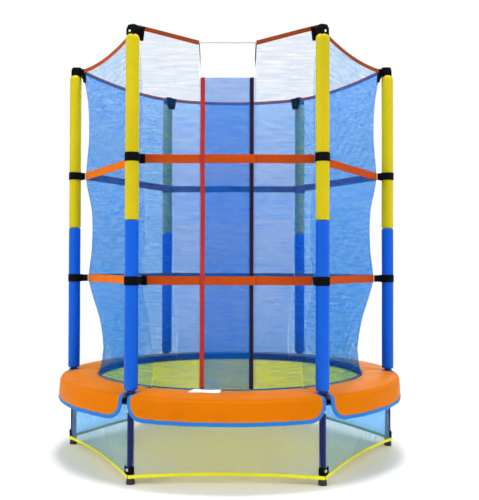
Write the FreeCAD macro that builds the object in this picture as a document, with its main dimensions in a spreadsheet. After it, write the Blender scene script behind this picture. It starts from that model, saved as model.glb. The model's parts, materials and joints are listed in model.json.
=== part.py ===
import FreeCAD, Part
import math
import os

import Sketcher
from FreeCAD import Placement, Rotation, Vector

# A small six-pole trampoline with a net enclosure, all sizes in millimetres.
# The frame stands on the floor at z = 0 with its centre at the origin. The poles stand on
# one circle, 60 degrees apart, the first on +X, and the doorway faces -Y.

SIZES = {
    # steel frame
    "pole_circle_radius": 680,
    "tube_diameter": 25,
    "tube_wall": 1.5,
    "slide_fit": 0.25,
    "rail_axis_height": 290,
    "leg_top_rise": 28,
    "rail_end_gap": 1,
    "stub_reach": 45,
    "spigot_length": 80,
    "pole_split_height": 930,
    "pole_top_height": 1618,
    "bolt_drop": 59,
    "bolt_diameter": 6,
    "bolt_head_diameter": 11,
    "bolt_head_height": 4,
    "bolt_clearance": 0.2,
    # rubber and plastic ends
    "foot_cap_height": 35,
    "foot_cap_base_wall": 3,
    "foot_cap_neck_wall": 1.5,
    "foot_cap_floor": 4,
    "foot_cap_grip": 0.05,
    "end_cap_overhang": 1.5,
    "end_cap_thickness": 8,
    "end_cap_plug_length": 14,
    # foam sleeves
    "foam_diameter": 50,
    "foam_fit": 0.5,
    "foam_foot_rise": 41,
    "foam_split_height": 936,
    "foam_split_gap": 0.5,
    "foam_top_drop": 18,
    "foam_rounding": 7,
    # jumping mat and springs
    "mat_edge_inset": 90,
    "mat_thickness": 2,
    "mat_rise": 6,
    "mat_band_width": 34,
    "mat_band_thickness": 1.5,
    "mat_ring_radius": 6,
    "ring_wire_diameter": 2.5,
    "spring_coil_diameter": 11,
    "spring_hook_length": 9,
    "hook_gap": 0.4,
    # safety pad
    "pad_inner_inset": 118,
    "pad_crease_overhang": 26,
    "pad_outer_overhang": 37,
    "pad_seat_gap": 0.5,
    "pad_inner_height": 21,
    "pad_outer_height": 14,
    "pad_crown": 4,
    "flap_drop": 53,
    "flap_thickness": 5,
    "flap_flare": 4,
    "notch_half_width": 19.5,
    "notch_depth": 31,
    "flap_corner_radius": 55,
    "seam_gap": 0.8,
    "seam_dip": 6,
    "binding_width": 5,
    "binding_proud": 1.2,
    "tie_cord_diameter": 3.5,
    # enclosure
    "net_thickness": 1.5,
    "net_corner_gap": 1.2,
    "net_foot_inset": 2,
    "upper_strap_height": 1161,
    "upper_strap_inset": 47,
    "lower_strap_height": 719,
    "lower_strap_inset": 61,
    "strap_width": 32,
    "strap_thickness": 1.6,
    "cloth_gap": 0.3,
    "net_top_rise": 2,
    "net_slack": 14,
    "top_sag": 20,
    "top_webbing_width": 19,
    "door_half_width": 104,
    "door_gap": 0.5,
    "outer_flap_edge": 91,
    "inner_flap_edge": 87,
    "flap_spacing": 2.5,
    "door_webbing_width": 16,
    "banner_drop": 44,
    "banner_height": 118,
    "banner_taper": 5,
    "band_height": 38,
    "band_thickness": 1.8,
    "band_tab_thickness": 3,
    "corner_tab_width": 26,
    "corner_tab_thickness": 2,
    "corner_tab_drop": 36,
    # skirt
    "skirt_thickness": 1.2,
    "skirt_leg_clearance": 1.5,
    "skirt_foot_clearance": 3.5,
    "hem_bottom_height": 21,
    "hem_width": 13,
    "hem_rise": 9,
    "hem_bow": 15,
    "patch_height": 34,
    "patch_reach": 24,
    "patch_thickness": 2,
    "eyelet_diameter": 6,
}

# Sizes on the same sheet that follow from those above
FOLLOWING = {
    "foot_cap_base_diameter": "=tube_diameter + 2 * foot_cap_base_wall",
    "foot_cap_neck_diameter": "=tube_diameter + 2 * foot_cap_neck_wall",
    "end_cap_diameter": "=tube_diameter + 2 * end_cap_overhang",
    "skirt_leg_gap": "=tube_diameter / 2 + skirt_leg_clearance",
    "skirt_foot_stand_off": "=tube_diameter / 2 + skirt_foot_clearance",
}

POLES = 6
SPRINGS = 36
TURN = 360 / POLES
FRONT_BAY = 4

doc = FreeCAD.newDocument("trampoline")
sheet = doc.addObject("Spreadsheet::Sheet", "size")
for row, (alias, number) in enumerate((SIZES | FOLLOWING).items(), start=1):
    sheet.set(f"A{row}", alias.replace("_", " "))
    sheet.set(f"B{row}", str(number))
    sheet.setAlias(f"B{row}", alias)
doc.recompute()

names = []      # labels of the finished sub-parts, in order


def mm(alias):
    """A driving dimension, read from the sheet."""
    return float(sheet.get(alias))


def worked_out(rule):
    """The number that a rule on the sheet's cells gives now."""
    number = sheet.evalExpression(rule)
    return float(getattr(number, "Value", number))


def finished(thing, label):
    """Give a sub-part its label and add it to the list that is written out."""
    thing.Label = label
    names.append(label)
    return thing


def turn_about_z(thing, angle):
    thing.Placement = Placement(Vector(), Rotation(Vector(0, 0, 1), angle))


def stand_at_corner(thing, corner):
    """Move a piece that was made about its own vertical axis to a pole's place."""
    angle = corner * TURN
    turn_about_z(thing, angle)
    thing.setExpression("Placement.Base.x", f"size.pole_circle_radius * cos({angle} deg)")
    thing.setExpression("Placement.Base.y", f"size.pole_circle_radius * sin({angle} deg)")


def origin_plane(body, role):
    return next(feature for feature in body.Origin.OriginFeatures if feature.Role == role)


def new_body(name):
    return doc.addObject("PartDesign::Body", name)


def flat_sketch(body, name, role):
    sketch = body.newObject("Sketcher::SketchObject", name)
    sketch.AttachmentSupport = [(origin_plane(body, role), "")]
    sketch.MapMode = "FlatFace"
    return sketch


def hold_point(sketch, line, axis, rule):
    """Tie one coordinate of a line's first point to a rule on the sheet."""
    if worked_out(rule) == 0:
        other_axis = -2 if axis == "X" else -1
        sketch.addConstraint(Sketcher.Constraint("PointOnObject", line, 1, other_axis))
        return
    number = sketch.addConstraint(
        Sketcher.Constraint("Distance" + axis, -1, 1, line, 1, worked_out(rule)))
    sketch.setExpression(f"Constraints[{number}]", rule)


def draw_outline(sketch, corners):
    """A closed outline of straight lines through corners given as pairs of rules."""
    points = [Vector(worked_out(across), worked_out(up), 0) for across, up in corners]
    count = len(points)
    for index in range(count):
        sketch.addGeometry(Part.LineSegment(points[index], points[(index + 1) % count]), False)
    for index in range(count):
        sketch.addConstraint(
            Sketcher.Constraint("Coincident", index, 2, (index + 1) % count, 1))
    for index, (across, up) in enumerate(corners):
        hold_point(sketch, index, "X", across)
        hold_point(sketch, index, "Y", up)


def turned_body(name, corners):
    """A body turned about its vertical axis from an outline of radius and height pairs."""
    body = new_body(name)
    sketch = flat_sketch(body, name + "_outline", "XZ_Plane")
    draw_outline(sketch, corners)
    turning = body.newObject("PartDesign::Revolution", name + "_turning")
    turning.Profile = sketch
    turning.ReferenceAxis = (sketch, ["V_Axis"])
    turning.Angle = 360
    sketch.Visibility = False
    return body


def drill_outwards(body, name, diameter, height):
    """A round hole from the body's axis out through its wall on the +X side."""
    sketch = flat_sketch(body, name + "_hole_circle", "YZ_Plane")
    sketch.addGeometry(Part.Circle(Vector(0, worked_out(height), 0), Vector(0, 0, 1),
                                   worked_out(diameter) / 2), False)
    sketch.addConstraint(Sketcher.Constraint("PointOnObject", 0, 3, -2))
    up = sketch.addConstraint(
        Sketcher.Constraint("DistanceY", -1, 1, 0, 3, worked_out(height)))
    sketch.setExpression(f"Constraints[{up}]", height)
    across = sketch.addConstraint(Sketcher.Constraint("Diameter", 0, worked_out(diameter)))
    sketch.setExpression(f"Constraints[{across}]", diameter)
    doc.recompute()
    before = body.Shape.Volume
    hole = body.newObject("PartDesign::Pocket", name + "_hole")
    hole.Profile = sketch
    hole.Length = worked_out("size.tube_diameter")
    hole.setExpression("Length", "size.tube_diameter")
    hole.Reversed = True
    doc.recompute()
    if body.Shape.Volume >= before:
        raise ValueError(name + " was not drilled")


def group(label, members):
    """One sub-part that holds several separate solids."""
    together = doc.addObject("Part::Compound", label)
    together.Links = members
    return finished(together, label)


def soft_piece(label, shape):
    """A cloth or padded sub-part whose form is worked out below."""
    piece = doc.addObject("Part::Feature", label)
    piece.Shape = shape
    return finished(piece, label)


# Sizes that follow from the driving ones, as rules on the sheet

LEG_TOP = "(size.rail_axis_height + size.leg_top_rise)"
BOLT_HEIGHT = "(size.rail_axis_height + size.leg_top_rise - size.bolt_drop)"
FOAM_FOOT = "(size.rail_axis_height + size.foam_foot_rise)"
FOAM_TOP = "(size.pole_top_height - size.foam_top_drop)"
MAT_RADIUS = "(size.pole_circle_radius - size.mat_edge_inset)"
MAT_UNDERSIDE = "(size.rail_axis_height + size.mat_rise)"
MAT_MIDDLE = "(size.rail_axis_height + size.mat_rise + size.mat_thickness / 2)"

pole_circle = mm("pole_circle_radius")
tube_radius = mm("tube_diameter") / 2
rail_top = mm("rail_axis_height") + tube_radius
pad_inner = pole_circle - mm("pad_inner_inset")
pad_crease = pole_circle + mm("pad_crease_overhang")
pad_outer = pole_circle + mm("pad_outer_overhang")
pad_underside = rail_top + mm("pad_seat_gap")
pad_crown_top = pad_underside + mm("pad_inner_height") + mm("pad_crown")
flap_bottom = mm("rail_axis_height") - mm("flap_drop")
net_top = mm("pole_top_height") + mm("net_top_rise")
tab_inside = mm("foam_diameter") / 2 + mm("cloth_gap") + mm("corner_tab_thickness")
banner_top = net_top - mm("banner_drop")
banner_bottom = banner_top - mm("banner_height")


# Steel frame

def round_bar(name, radius, height, foot):
    bar = doc.addObject("Part::Cylinder", name)
    bar.setExpression("Radius", radius)
    bar.setExpression("Height", height)
    bar.setExpression("Placement.Base.x", "size.pole_circle_radius")
    bar.setExpression("Placement.Base.z", foot)
    return bar


def curved_bar(name, radius, start, sweep):
    """A round bar bent along the pole circle, from one angle through a sweep."""
    bar = doc.addObject("Part::Torus", name)
    bar.setExpression("Radius1", "size.pole_circle_radius")
    bar.setExpression("Radius2", radius)
    bar.Placement = Placement(Vector(), Rotation(Vector(0, 0, 1), worked_out(start)))
    bar.setExpression("Placement.Rotation.Angle", start)
    bar.setExpression("Placement.Base.z", "size.rail_axis_height")
    bar.setExpression("Angle3", sweep)
    return bar


def boolean(kind, name, base, tool):
    result = doc.addObject("Part::" + kind, name)
    result.Base = base
    result.Tool = tool
    return result


TUBE_RADIUS = "size.tube_diameter / 2"
BORE_RADIUS = "(size.tube_diameter / 2 - size.tube_wall)"
SPIGOT_RADIUS = "(size.tube_diameter / 2 - size.tube_wall - size.slide_fit)"
SPIGOT_BORE = "(size.tube_diameter / 2 - 2 * size.tube_wall - size.slide_fit)"
STUB_ANGLE = ("asin((size.tube_diameter / 2 + size.rail_end_gap + size.stub_reach)"
              " / size.pole_circle_radius)")
RAIL_START = "asin((size.tube_diameter / 2 + size.rail_end_gap) / size.pole_circle_radius)"
BOLT_HOLE = "size.bolt_diameter + 2 * size.bolt_clearance"


def make_leg(corner):
    """A straight leg with two curved stubs that the top rails slide onto."""
    name = f"leg_{corner + 1}"
    length = "size.rail_axis_height + size.leg_top_rise - size.foot_cap_floor"
    wall = round_bar(name + "_wall", TUBE_RADIUS, length, "size.foot_cap_floor")
    bore = round_bar(name + "_bore", BORE_RADIUS, length, "size.foot_cap_floor")
    stub = curved_bar(name + "_stub", SPIGOT_RADIUS, "-" + STUB_ANGLE, "2 * " + STUB_ANGLE)
    stub_bore = curved_bar(name + "_stub_bore", SPIGOT_BORE, "-" + STUB_ANGLE,
                           "2 * " + STUB_ANGLE)
    stub_tube = boolean("Cut", name + "_stub_tube", stub, stub_bore)
    welded = boolean("Fuse", name + "_welded", wall, stub_tube)
    open_tube = boolean("Cut", name + "_open", welded, bore)
    drill = round_bar(name + "_drill", f"({BOLT_HOLE}) / 2", "size.tube_diameter",
                      BOLT_HEIGHT)
    drill.Placement.Rotation = Rotation(Vector(0, 1, 0), 90)
    leg = boolean("Cut", name, open_tube, drill)
    turn_about_z(leg, corner * TURN)
    finished(leg, name)


def make_top_rail(bay):
    """A curved tube between two legs."""
    name = f"top_rail_{bay + 1}"
    sweep = f"{TURN} deg - 2 * " + RAIL_START
    wall = curved_bar(name + "_wall", TUBE_RADIUS, RAIL_START, sweep)
    bore = curved_bar(name + "_bore", BORE_RADIUS, RAIL_START, sweep)
    rail = boolean("Cut", name, wall, bore)
    turn_about_z(rail, bay * TURN)
    finished(rail, name)


def make_pole(name, corner, shoulder, top):
    """A tube whose narrowed foot slides into the tube below it."""
    foot = f"({shoulder} - size.spigot_length)"
    body = turned_body(name, [
        (SPIGOT_BORE, foot),
        (SPIGOT_RADIUS, foot),
        (SPIGOT_RADIUS, shoulder),
        (TUBE_RADIUS, shoulder),
        (TUBE_RADIUS, top),
        (BORE_RADIUS, top),
        (BORE_RADIUS, f"({shoulder} + 2 * size.tube_wall)"),
        (SPIGOT_BORE, f"({shoulder} + 2 * size.tube_wall)"),
    ])
    stand_at_corner(body, corner)
    return finished(body, name)


def make_bolt(corner):
    """The domed bolt that locks a lower pole in its leg."""
    name = f"bolt_{corner + 1}"
    seat = "size.tube_diameter / 2 + size.bolt_clearance"
    inner = "(size.tube_diameter / 2 - 2 * size.tube_wall - 2 * size.bolt_head_height)"
    body = turned_body(name, [
        ("0", inner),
        ("size.bolt_diameter / 2", inner),
        ("size.bolt_diameter / 2", seat),
        ("size.bolt_head_diameter / 2", seat),
        ("size.bolt_head_diameter / 2", f"{seat} + size.bolt_head_height / 2"),
        ("size.bolt_head_diameter / 4", f"{seat} + size.bolt_head_height"),
        ("0", f"{seat} + size.bolt_head_height"),
    ])
    angle = corner * TURN
    outwards = Rotation(Vector(0, 0, 1), angle) * Rotation(Vector(0, 1, 0), 90)
    body.Placement = Placement(Vector(), outwards)
    body.setExpression("Placement.Base.x", f"size.pole_circle_radius * cos({angle} deg)")
    body.setExpression("Placement.Base.y", f"size.pole_circle_radius * sin({angle} deg)")
    body.setExpression("Placement.Base.z", BOLT_HEIGHT)
    return body


def make_foot_cap(corner):
    """A flared rubber cup on the foot of a leg."""
    grip = "(size.tube_diameter / 2 + size.foot_cap_grip)"
    body = turned_body(f"foot_cap_{corner + 1}", [
        ("0", "0"),
        ("size.foot_cap_base_diameter / 2", "0"),
        ("size.foot_cap_base_diameter / 2", "size.foot_cap_height / 4"),
        ("size.foot_cap_neck_diameter / 2", "size.foot_cap_height / 2"),
        ("size.foot_cap_neck_diameter / 2", "size.foot_cap_height"),
        (grip, "size.foot_cap_height"),
        (grip, "size.foot_cap_floor"),
        ("0", "size.foot_cap_floor"),
    ])
    stand_at_corner(body, corner)
    return body


def make_end_cap(corner):
    """A round plastic cap plugged into the top of a pole."""
    top = "size.pole_top_height"
    plug = "(size.tube_diameter / 2 - size.tube_wall - size.slide_fit)"
    body = turned_body(f"end_cap_{corner + 1}", [
        ("0", f"{top} - size.end_cap_plug_length"),
        (plug, f"{top} - size.end_cap_plug_length"),
        (plug, top),
        ("size.end_cap_diameter / 2", top),
        ("size.end_cap_diameter / 2", f"{top} + size.end_cap_thickness / 2"),
        ("size.end_cap_diameter / 3", f"{top} + size.end_cap_thickness"),
        ("0", f"{top} + size.end_cap_thickness"),
    ])
    stand_at_corner(body, corner)
    return body


def make_foam_sleeve(name, corner, bottom, top):
    """A foam tube round a pole, with softly rounded ends."""
    outer = "size.foam_diameter / 2"
    inner = "(size.tube_diameter / 2 + size.foam_fit)"
    rounding = "size.foam_rounding"
    body = turned_body(name, [
        (inner, bottom),
        (f"{outer} - {rounding} / 3", bottom),
        (outer, f"{bottom} + {rounding} / 3"),
        (outer, f"{top} - {rounding}"),
        (f"{outer} - {rounding} * 0.3", f"{top} - {rounding} * 0.3"),
        (f"{outer} - {rounding}", top),
        (inner, top),
    ])
    stand_at_corner(body, corner)
    finished(body, name)


for place in range(POLES):
    make_leg(place)
for place in range(POLES):
    make_top_rail(place)
for place in range(POLES):
    pole_name = f"lower_pole_{place + 1}"
    lower = make_pole(pole_name, place, LEG_TOP, "size.pole_split_height")
    drill_outwards(lower, pole_name, BOLT_HOLE, BOLT_HEIGHT)
for place in range(POLES):
    make_pole(f"upper_pole_{place + 1}", place, "size.pole_split_height",
              "size.pole_top_height")
for place in range(POLES):
    make_foam_sleeve(f"blue_foam_sleeve_{place + 1}", place,
                     FOAM_FOOT, "(size.foam_split_height - size.foam_split_gap)")
for place in range(POLES):
    make_foam_sleeve(f"yellow_foam_sleeve_{place + 1}", place,
                     "size.foam_split_height", FOAM_TOP)
group("foot_caps", [make_foot_cap(place) for place in range(POLES)])
group("pole_end_caps", [make_end_cap(place) for place in range(POLES)])
group("joint_bolts", [make_bolt(place) for place in range(POLES)])


# Jumping mat, its webbing edge, rings and springs

def flat_disc(name, outer, inner, foot, thickness):
    """A disc, or a flat ring where an inner radius is given, padded up from its sketch."""
    body = new_body(name)
    sketch = flat_sketch(body, name + "_circles", "XY_Plane")
    for number, radius in enumerate(rule for rule in (outer, inner) if rule):
        sketch.addGeometry(Part.Circle(Vector(), Vector(0, 0, 1), worked_out(radius)), False)
        sketch.addConstraint(Sketcher.Constraint("Coincident", number, 3, -1, 1))
        held = sketch.addConstraint(
            Sketcher.Constraint("Radius", number, worked_out(radius)))
        sketch.setExpression(f"Constraints[{held}]", radius)
    pad = body.newObject("PartDesign::Pad", name + "_thickness")
    pad.Profile = sketch
    pad.Length = worked_out(thickness)
    pad.setExpression("Length", thickness)
    body.setExpression("Placement.Base.z", foot)
    return finished(body, name)


def make_mat_ring(number, ring_place):
    """A closed wire ring at the mat's edge that a spring hooks into."""
    angle = (number + 0.5) * 360 / SPRINGS
    ring = doc.addObject("Part::Torus", f"mat_ring_{number + 1}")
    ring.setExpression("Radius1", "size.mat_ring_radius")
    ring.setExpression("Radius2", "size.ring_wire_diameter / 2")
    ring.setExpression("Placement.Base.x", f"{ring_place} * cos({angle} deg)")
    ring.setExpression("Placement.Base.y", f"{ring_place} * sin({angle} deg)")
    ring.setExpression("Placement.Base.z", MAT_MIDDLE)
    return ring


def make_springs():
    """The outer form of each coil spring with its two straight hook ends."""
    wire = mm("ring_wire_diameter") / 2
    start = (worked_out(MAT_RADIUS) + 2 * mm("hook_gap") + 2 * mm("mat_ring_radius")
             + mm("ring_wire_diameter"))
    axis_height = worked_out(MAT_MIDDLE)
    rise = axis_height - wire - mm("rail_axis_height")
    rail_face = pole_circle - math.sqrt(tube_radius ** 2 - rise ** 2)
    end = rail_face - mm("hook_gap")
    hook = mm("spring_hook_length")
    along = Vector(1, 0, 0)
    springs = []
    for number in range(SPRINGS):
        foot = Vector(start, 0, axis_height)
        coil_foot = Vector(start + hook, 0, axis_height)
        wire_bar = Part.makeCylinder(wire, end - start, foot, along)
        coil = Part.makeCylinder(mm("spring_coil_diameter") / 2, end - start - 2 * hook,
                                 coil_foot, along)
        spring = coil.fuse(wire_bar).removeSplitter()
        angle = (number + 0.5) * 360 / SPRINGS
        spring.rotate(Vector(), Vector(0, 0, 1), angle)
        springs.append(spring)
    return Part.makeCompound(springs)


flat_disc("jumping_mat", MAT_RADIUS, None, MAT_UNDERSIDE, "size.mat_thickness")
flat_disc("mat_edge_band", MAT_RADIUS, f"({MAT_RADIUS} - size.mat_band_width)",
          f"{MAT_UNDERSIDE} + size.mat_thickness", "size.mat_band_thickness")
RING_PLACE = (f"({MAT_RADIUS} + size.hook_gap + size.mat_ring_radius"
              " + size.ring_wire_diameter / 2)")
group("mat_rings", [make_mat_ring(number, RING_PLACE) for number in range(SPRINGS)])
soft_piece("springs", make_springs())


# Safety pad

def turned_all_round(edges):
    """A ring turned once about the vertical axis from a closed outline of edges."""
    face = Part.Face(Part.Wire(edges))
    return face.revolve(Vector(), Vector(0, 0, 1), 360)


def lines_through(points):
    closed = points + points[:1]
    return [Part.makeLine(start, end) for start, end in zip(closed, closed[1:])]


def box_ring(inner, outer, bottom, top):
    return turned_all_round(lines_through([
        Vector(inner, 0, bottom), Vector(outer, 0, bottom),
        Vector(outer, 0, top), Vector(inner, 0, top)]))


def at_every_corner(shape):
    copies = []
    for corner in range(POLES):
        copy = shape.copy()
        copy.rotate(Vector(), Vector(0, 0, 1), corner * TURN)
        copies.append(copy)
    return copies


def notch_tool(half_width, corner_radius, bottom):
    """The gap in the pad at a pole: a slot that opens below into two rounded corners."""
    top = pad_crown_top + corner_radius
    bend = bottom + corner_radius
    side = half_width + corner_radius
    lean = corner_radius * math.sqrt(0.5)
    start = slot_end

    def at(across, up):
        return Vector(start, across, up)

    outline = [
        Part.makeLine(at(-half_width, top), at(-half_width, bend)),
        Part.Arc(at(-half_width, bend), at(-side + lean, bend - lean),
                 at(-side, bottom)).toShape(),
        Part.makeLine(at(-side, bottom), at(-side, bottom - below_flap)),
        Part.makeLine(at(-side, bottom - below_flap), at(side, bottom - below_flap)),
        Part.makeLine(at(side, bottom - below_flap), at(side, bottom)),
        Part.Arc(at(side, bottom), at(side - lean, bend - lean),
                 at(half_width, bend)).toShape(),
        Part.makeLine(at(half_width, bend), at(half_width, top)),
        Part.makeLine(at(half_width, top), at(-half_width, top)),
    ]
    reach = pad_outer - start + 4 * mm("binding_width")
    slot = Part.Face(Part.Wire(outline)).extrude(Vector(reach, 0, 0))
    slot_foot = Vector(start, 0, pad_underside - mm("pad_seat_gap"))
    rounded_end = Part.makeCylinder(half_width, top - slot_foot.z, slot_foot)
    return slot.fuse(rounded_end)


def seam_tool():
    """The slit between two pad sections, with the cover drawn in above it."""
    inside = pad_inner - mm("seam_dip")
    length = slot_end - inside
    low = pad_underside - mm("seam_dip")
    high = pad_crown_top + mm("seam_dip")
    gap = mm("seam_gap")
    slit = Part.makeBox(length, gap, high - low, Vector(inside, -gap / 2, low))
    dip = mm("seam_dip")
    valley = [Vector(inside, 0, pad_crown_top - dip),
              Vector(inside, 2 * dip, high), Vector(inside, -2 * dip, high)]
    groove = Part.Face(Part.Wire(lines_through(valley))).extrude(Vector(length, 0, 0))
    return slit.fuse(groove)


def pad_outline():
    """The pad's section: a crowned top, a soft crease, and a flap hanging outside."""
    inner = pad_inner
    crease = pad_crease
    outer = pad_outer
    hem = outer + mm("flap_flare")
    low = flap_bottom
    inner_top = pad_underside + mm("pad_inner_height")
    outer_top = pad_underside + mm("pad_outer_height")
    middle = (inner + crease) / 2
    shoulder = outer_top - (outer - crease)
    slant = (outer - crease) * math.sqrt(0.5)
    thick = mm("flap_thickness")
    return [
        Part.makeLine(Vector(inner, 0, pad_underside), Vector(inner, 0, inner_top)),
        Part.Arc(Vector(inner, 0, inner_top), Vector(middle, 0, pad_crown_top),
                 Vector(crease, 0, outer_top)).toShape(),
        Part.Arc(Vector(crease, 0, outer_top),
                 Vector(crease + slant, 0, shoulder + slant),
                 Vector(outer, 0, shoulder)).toShape(),
        Part.makeLine(Vector(outer, 0, shoulder), Vector(hem, 0, low)),
        Part.makeLine(Vector(hem, 0, low), Vector(hem - thick, 0, low)),
        Part.makeLine(Vector(hem - thick, 0, low), Vector(outer - thick, 0, pad_underside)),
        Part.makeLine(Vector(outer - thick, 0, pad_underside),
                      Vector(inner, 0, pad_underside)),
    ]


def flap_edge_binding():
    """The tape folded over the flap's lower edge and up both sides of each notch."""
    hem = pad_outer + mm("flap_flare")
    proud = mm("binding_proud")
    low = flap_bottom - mm("binding_width")
    sleeve = box_ring(pad_outer - mm("flap_thickness") - proud, hem + proud,
                      low, pad_underside)
    edge_gap = mm("cloth_gap")
    below = box_ring(slot_end, hem + 2 * mm("binding_width"), low - below_flap,
                     flap_bottom - edge_gap)
    wide = notch_tool(mm("notch_half_width") - edge_gap, mm("flap_corner_radius") + edge_gap,
                      flap_bottom - edge_gap)
    narrow = notch_tool(mm("notch_half_width") - mm("binding_width"),
                        mm("flap_corner_radius") + mm("binding_width"), low)
    edge = sleeve.common(below.fuse(at_every_corner(wide)))
    return edge.cut(at_every_corner(narrow))


def inner_edge_binding():
    outer = pad_inner - mm("cloth_gap")
    ring = box_ring(outer - mm("net_thickness"), outer, pad_underside + mm("binding_proud"),
                    pad_underside + mm("pad_inner_height"))
    return ring.cut(at_every_corner(seam_tool()))


def make_tie_cords():
    """Two turns of cord round each pole, above the rails and under the foam."""
    cord = mm("tie_cord_diameter") / 2
    loop = tube_radius + mm("cloth_gap") + cord
    heights = (rail_top + 2 * cord, worked_out(FOAM_FOOT) - 2 * cord)
    rings = []
    for height in heights:
        ring = Part.makeTorus(loop, cord, Vector(pole_circle, 0, height))
        rings += at_every_corner(ring)
    return Part.makeCompound(rings)


slot_end = pole_circle - mm("notch_depth") + mm("notch_half_width")
below_flap = 2 * mm("binding_width")

pad_tools = at_every_corner(notch_tool(
    mm("notch_half_width"), mm("flap_corner_radius"), flap_bottom))
pad_tools += at_every_corner(seam_tool())
soft_piece("safety_pad", turned_all_round(pad_outline()).cut(pad_tools))
soft_piece("pad_binding", Part.makeCompound(
    flap_edge_binding().Solids + inner_edge_binding().Solids))
soft_piece("pad_tie_cords", make_tie_cords())


# Net enclosure. At each level the net's plan is six shallow curves between the poles.
# A level is its height, its corner's distance inside the pole circle, and how far the
# middle of each bay bulges past a straight line between the corners.

def net_levels():
    foot = pad_underside + mm("pad_inner_height") + mm("cloth_gap")
    low = mm("lower_strap_height")
    high = mm("upper_strap_height")
    top = net_top
    foot_in = pole_circle - pad_inner + mm("net_foot_inset")
    low_in = mm("lower_strap_inset")
    high_in = mm("upper_strap_inset")
    half_turn = math.radians(TURN / 2)
    webbing_face = mm("cloth_gap") + mm("strap_thickness")
    top_in = (tab_inside + mm("cloth_gap") + webbing_face * math.cos(half_turn)
              - mm("net_corner_gap") * math.sin(half_turn))
    bulge = (pole_circle - foot_in) * (1 - math.cos(half_turn))
    slack = mm("net_slack")
    return [
        (foot, foot_in, bulge),
        (foot + 0.20 * (low - foot), foot_in + 0.7 * slack, 0.93 * bulge),
        (foot + 0.53 * (low - foot), 0.86 * foot_in + 0.14 * low_in, 0.6 * bulge),
        (foot + 0.83 * (low - foot), 0.25 * foot_in + 0.75 * low_in, 0.16 * bulge),
        (low, low_in, -2),
        (low + 0.30 * (high - low), 0.7 * low_in + 0.3 * high_in + 1.2 * slack, -5),
        (low + 0.64 * (high - low), 0.36 * low_in + 0.64 * high_in + 1.5 * slack, -5),
        (high, high_in, -2),
        (high + 0.37 * (top - high), 0.63 * high_in + 0.37 * top_in + 1.3 * slack, -5),
        (high + 0.70 * (top - high), 0.3 * high_in + 0.7 * top_in + 1.4 * slack, -3),
        (top, top_in, -2),
    ]


def level_slopes(levels):
    """How fast each level's two distances change with height: not at all at the straps."""
    straps = (mm("lower_strap_height"), mm("upper_strap_height"))
    slopes = []
    for place, level in enumerate(levels):
        below = levels[max(place - 1, 0)]
        above = levels[min(place + 1, len(levels) - 1)]
        rise = above[0] - below[0]
        slopes.append([0 if level[0] in straps else (b - a) / rise
                       for a, b in zip(below[1:], above[1:])])
    return slopes


def level_at(height):
    """The level at any height, on smooth curves from one level to the next."""
    levels = net_levels()
    slopes = level_slopes(levels)
    place = 0
    while place < len(levels) - 2 and height > levels[place + 1][0]:
        place += 1
    low, high = levels[place], levels[place + 1]
    span = high[0] - low[0]
    share = (height - low[0]) / span
    ease = share ** 2 * (3 - 2 * share)
    level = [height]
    for a, b, start, end in zip(low[1:], high[1:], slopes[place], slopes[place + 1]):
        level.append(a + ease * (b - a) + span * share * (1 - share)
                     * ((1 - share) * start - share * end))
    return tuple(level)


def row_heights(low, high):
    """The heights of the rows that a sheet of cloth is drawn through, from low to high."""
    heights = [level[0] for level in net_levels()]
    heights += [(a + b) / 2 for a, b in zip(heights, heights[1:])]
    for strap in (mm("lower_strap_height"), mm("upper_strap_height")):
        heights += [strap - mm("strap_width") / 2, strap + mm("strap_width") / 2]
    room = mm("strap_width") / 4
    return [low] + [height for height in sorted(heights) if low + room < height < high - room] + [high]


def bay_directions(bay):
    """A bay's outward direction and the direction along it, seen from above."""
    middle = math.radians((bay + 0.5) * TURN)
    outward = Vector(math.cos(middle), math.sin(middle), 0)
    along = Vector(-math.sin(middle), math.cos(middle), 0)
    return outward, along


def half_side(level):
    """Half the straight distance between two corners of the net at a level."""
    return (pole_circle - level[1]) * math.sin(math.radians(TURN / 2))


def on_net(bay, level, along_bay, offset=0.0, height=None):
    """A point of the net, along_bay from the bay's middle and offset outwards."""
    outward, along = bay_directions(bay)
    corner = pole_circle - level[1]
    straight = corner * math.cos(math.radians(TURN / 2))
    curve = level[2] * (1 - (along_bay / half_side(level)) ** 2)
    point = outward * (straight + curve + offset) + along * along_bay
    point.z = level[0] if height is None else height
    return point


COLUMNS = 5


def spread(start, end):
    return [start + (end - start) * step / (COLUMNS - 1) for step in range(COLUMNS)]


def cloth(bay, rows, thickness):
    """A sheet through rows of points, given a thickness along the bay's direction."""
    surface = Part.BSplineSurface()
    surface.interpolate(rows)
    outward, _ = bay_directions(bay)
    return surface.toShape().extrude(outward * thickness)


def strip(bay, upper, lower, thickness):
    """A band of webbing between two smooth lines of points."""
    edges = []
    for points in (upper, lower):
        curve = Part.BSplineCurve()
        curve.interpolate(points)
        edges.append(curve.toShape())
    outward, _ = bay_directions(bay)
    return Part.makeRuledSurface(edges[0], edges[1]).extrude(outward * thickness)


def full_span(level):
    reach = half_side(level) - mm("net_corner_gap")
    return -reach, reach


def side_spans(level):
    """The two stretches of the front bay beside the doorway."""
    left, right = full_span(level)
    door = mm("door_half_width") + mm("door_gap")
    return (left, -door), (door, right)


def edge_drop(bay, along_bay):
    """How far the top edge hangs below the corners."""
    reach = half_side(net_levels()[-1])
    if bay != FRONT_BAY:
        return mm("top_sag") * (1 - (along_bay / reach) ** 2)
    door = mm("door_half_width")
    slope = mm("banner_drop") / (reach - door)
    return slope * (reach - abs(along_bay))


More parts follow.
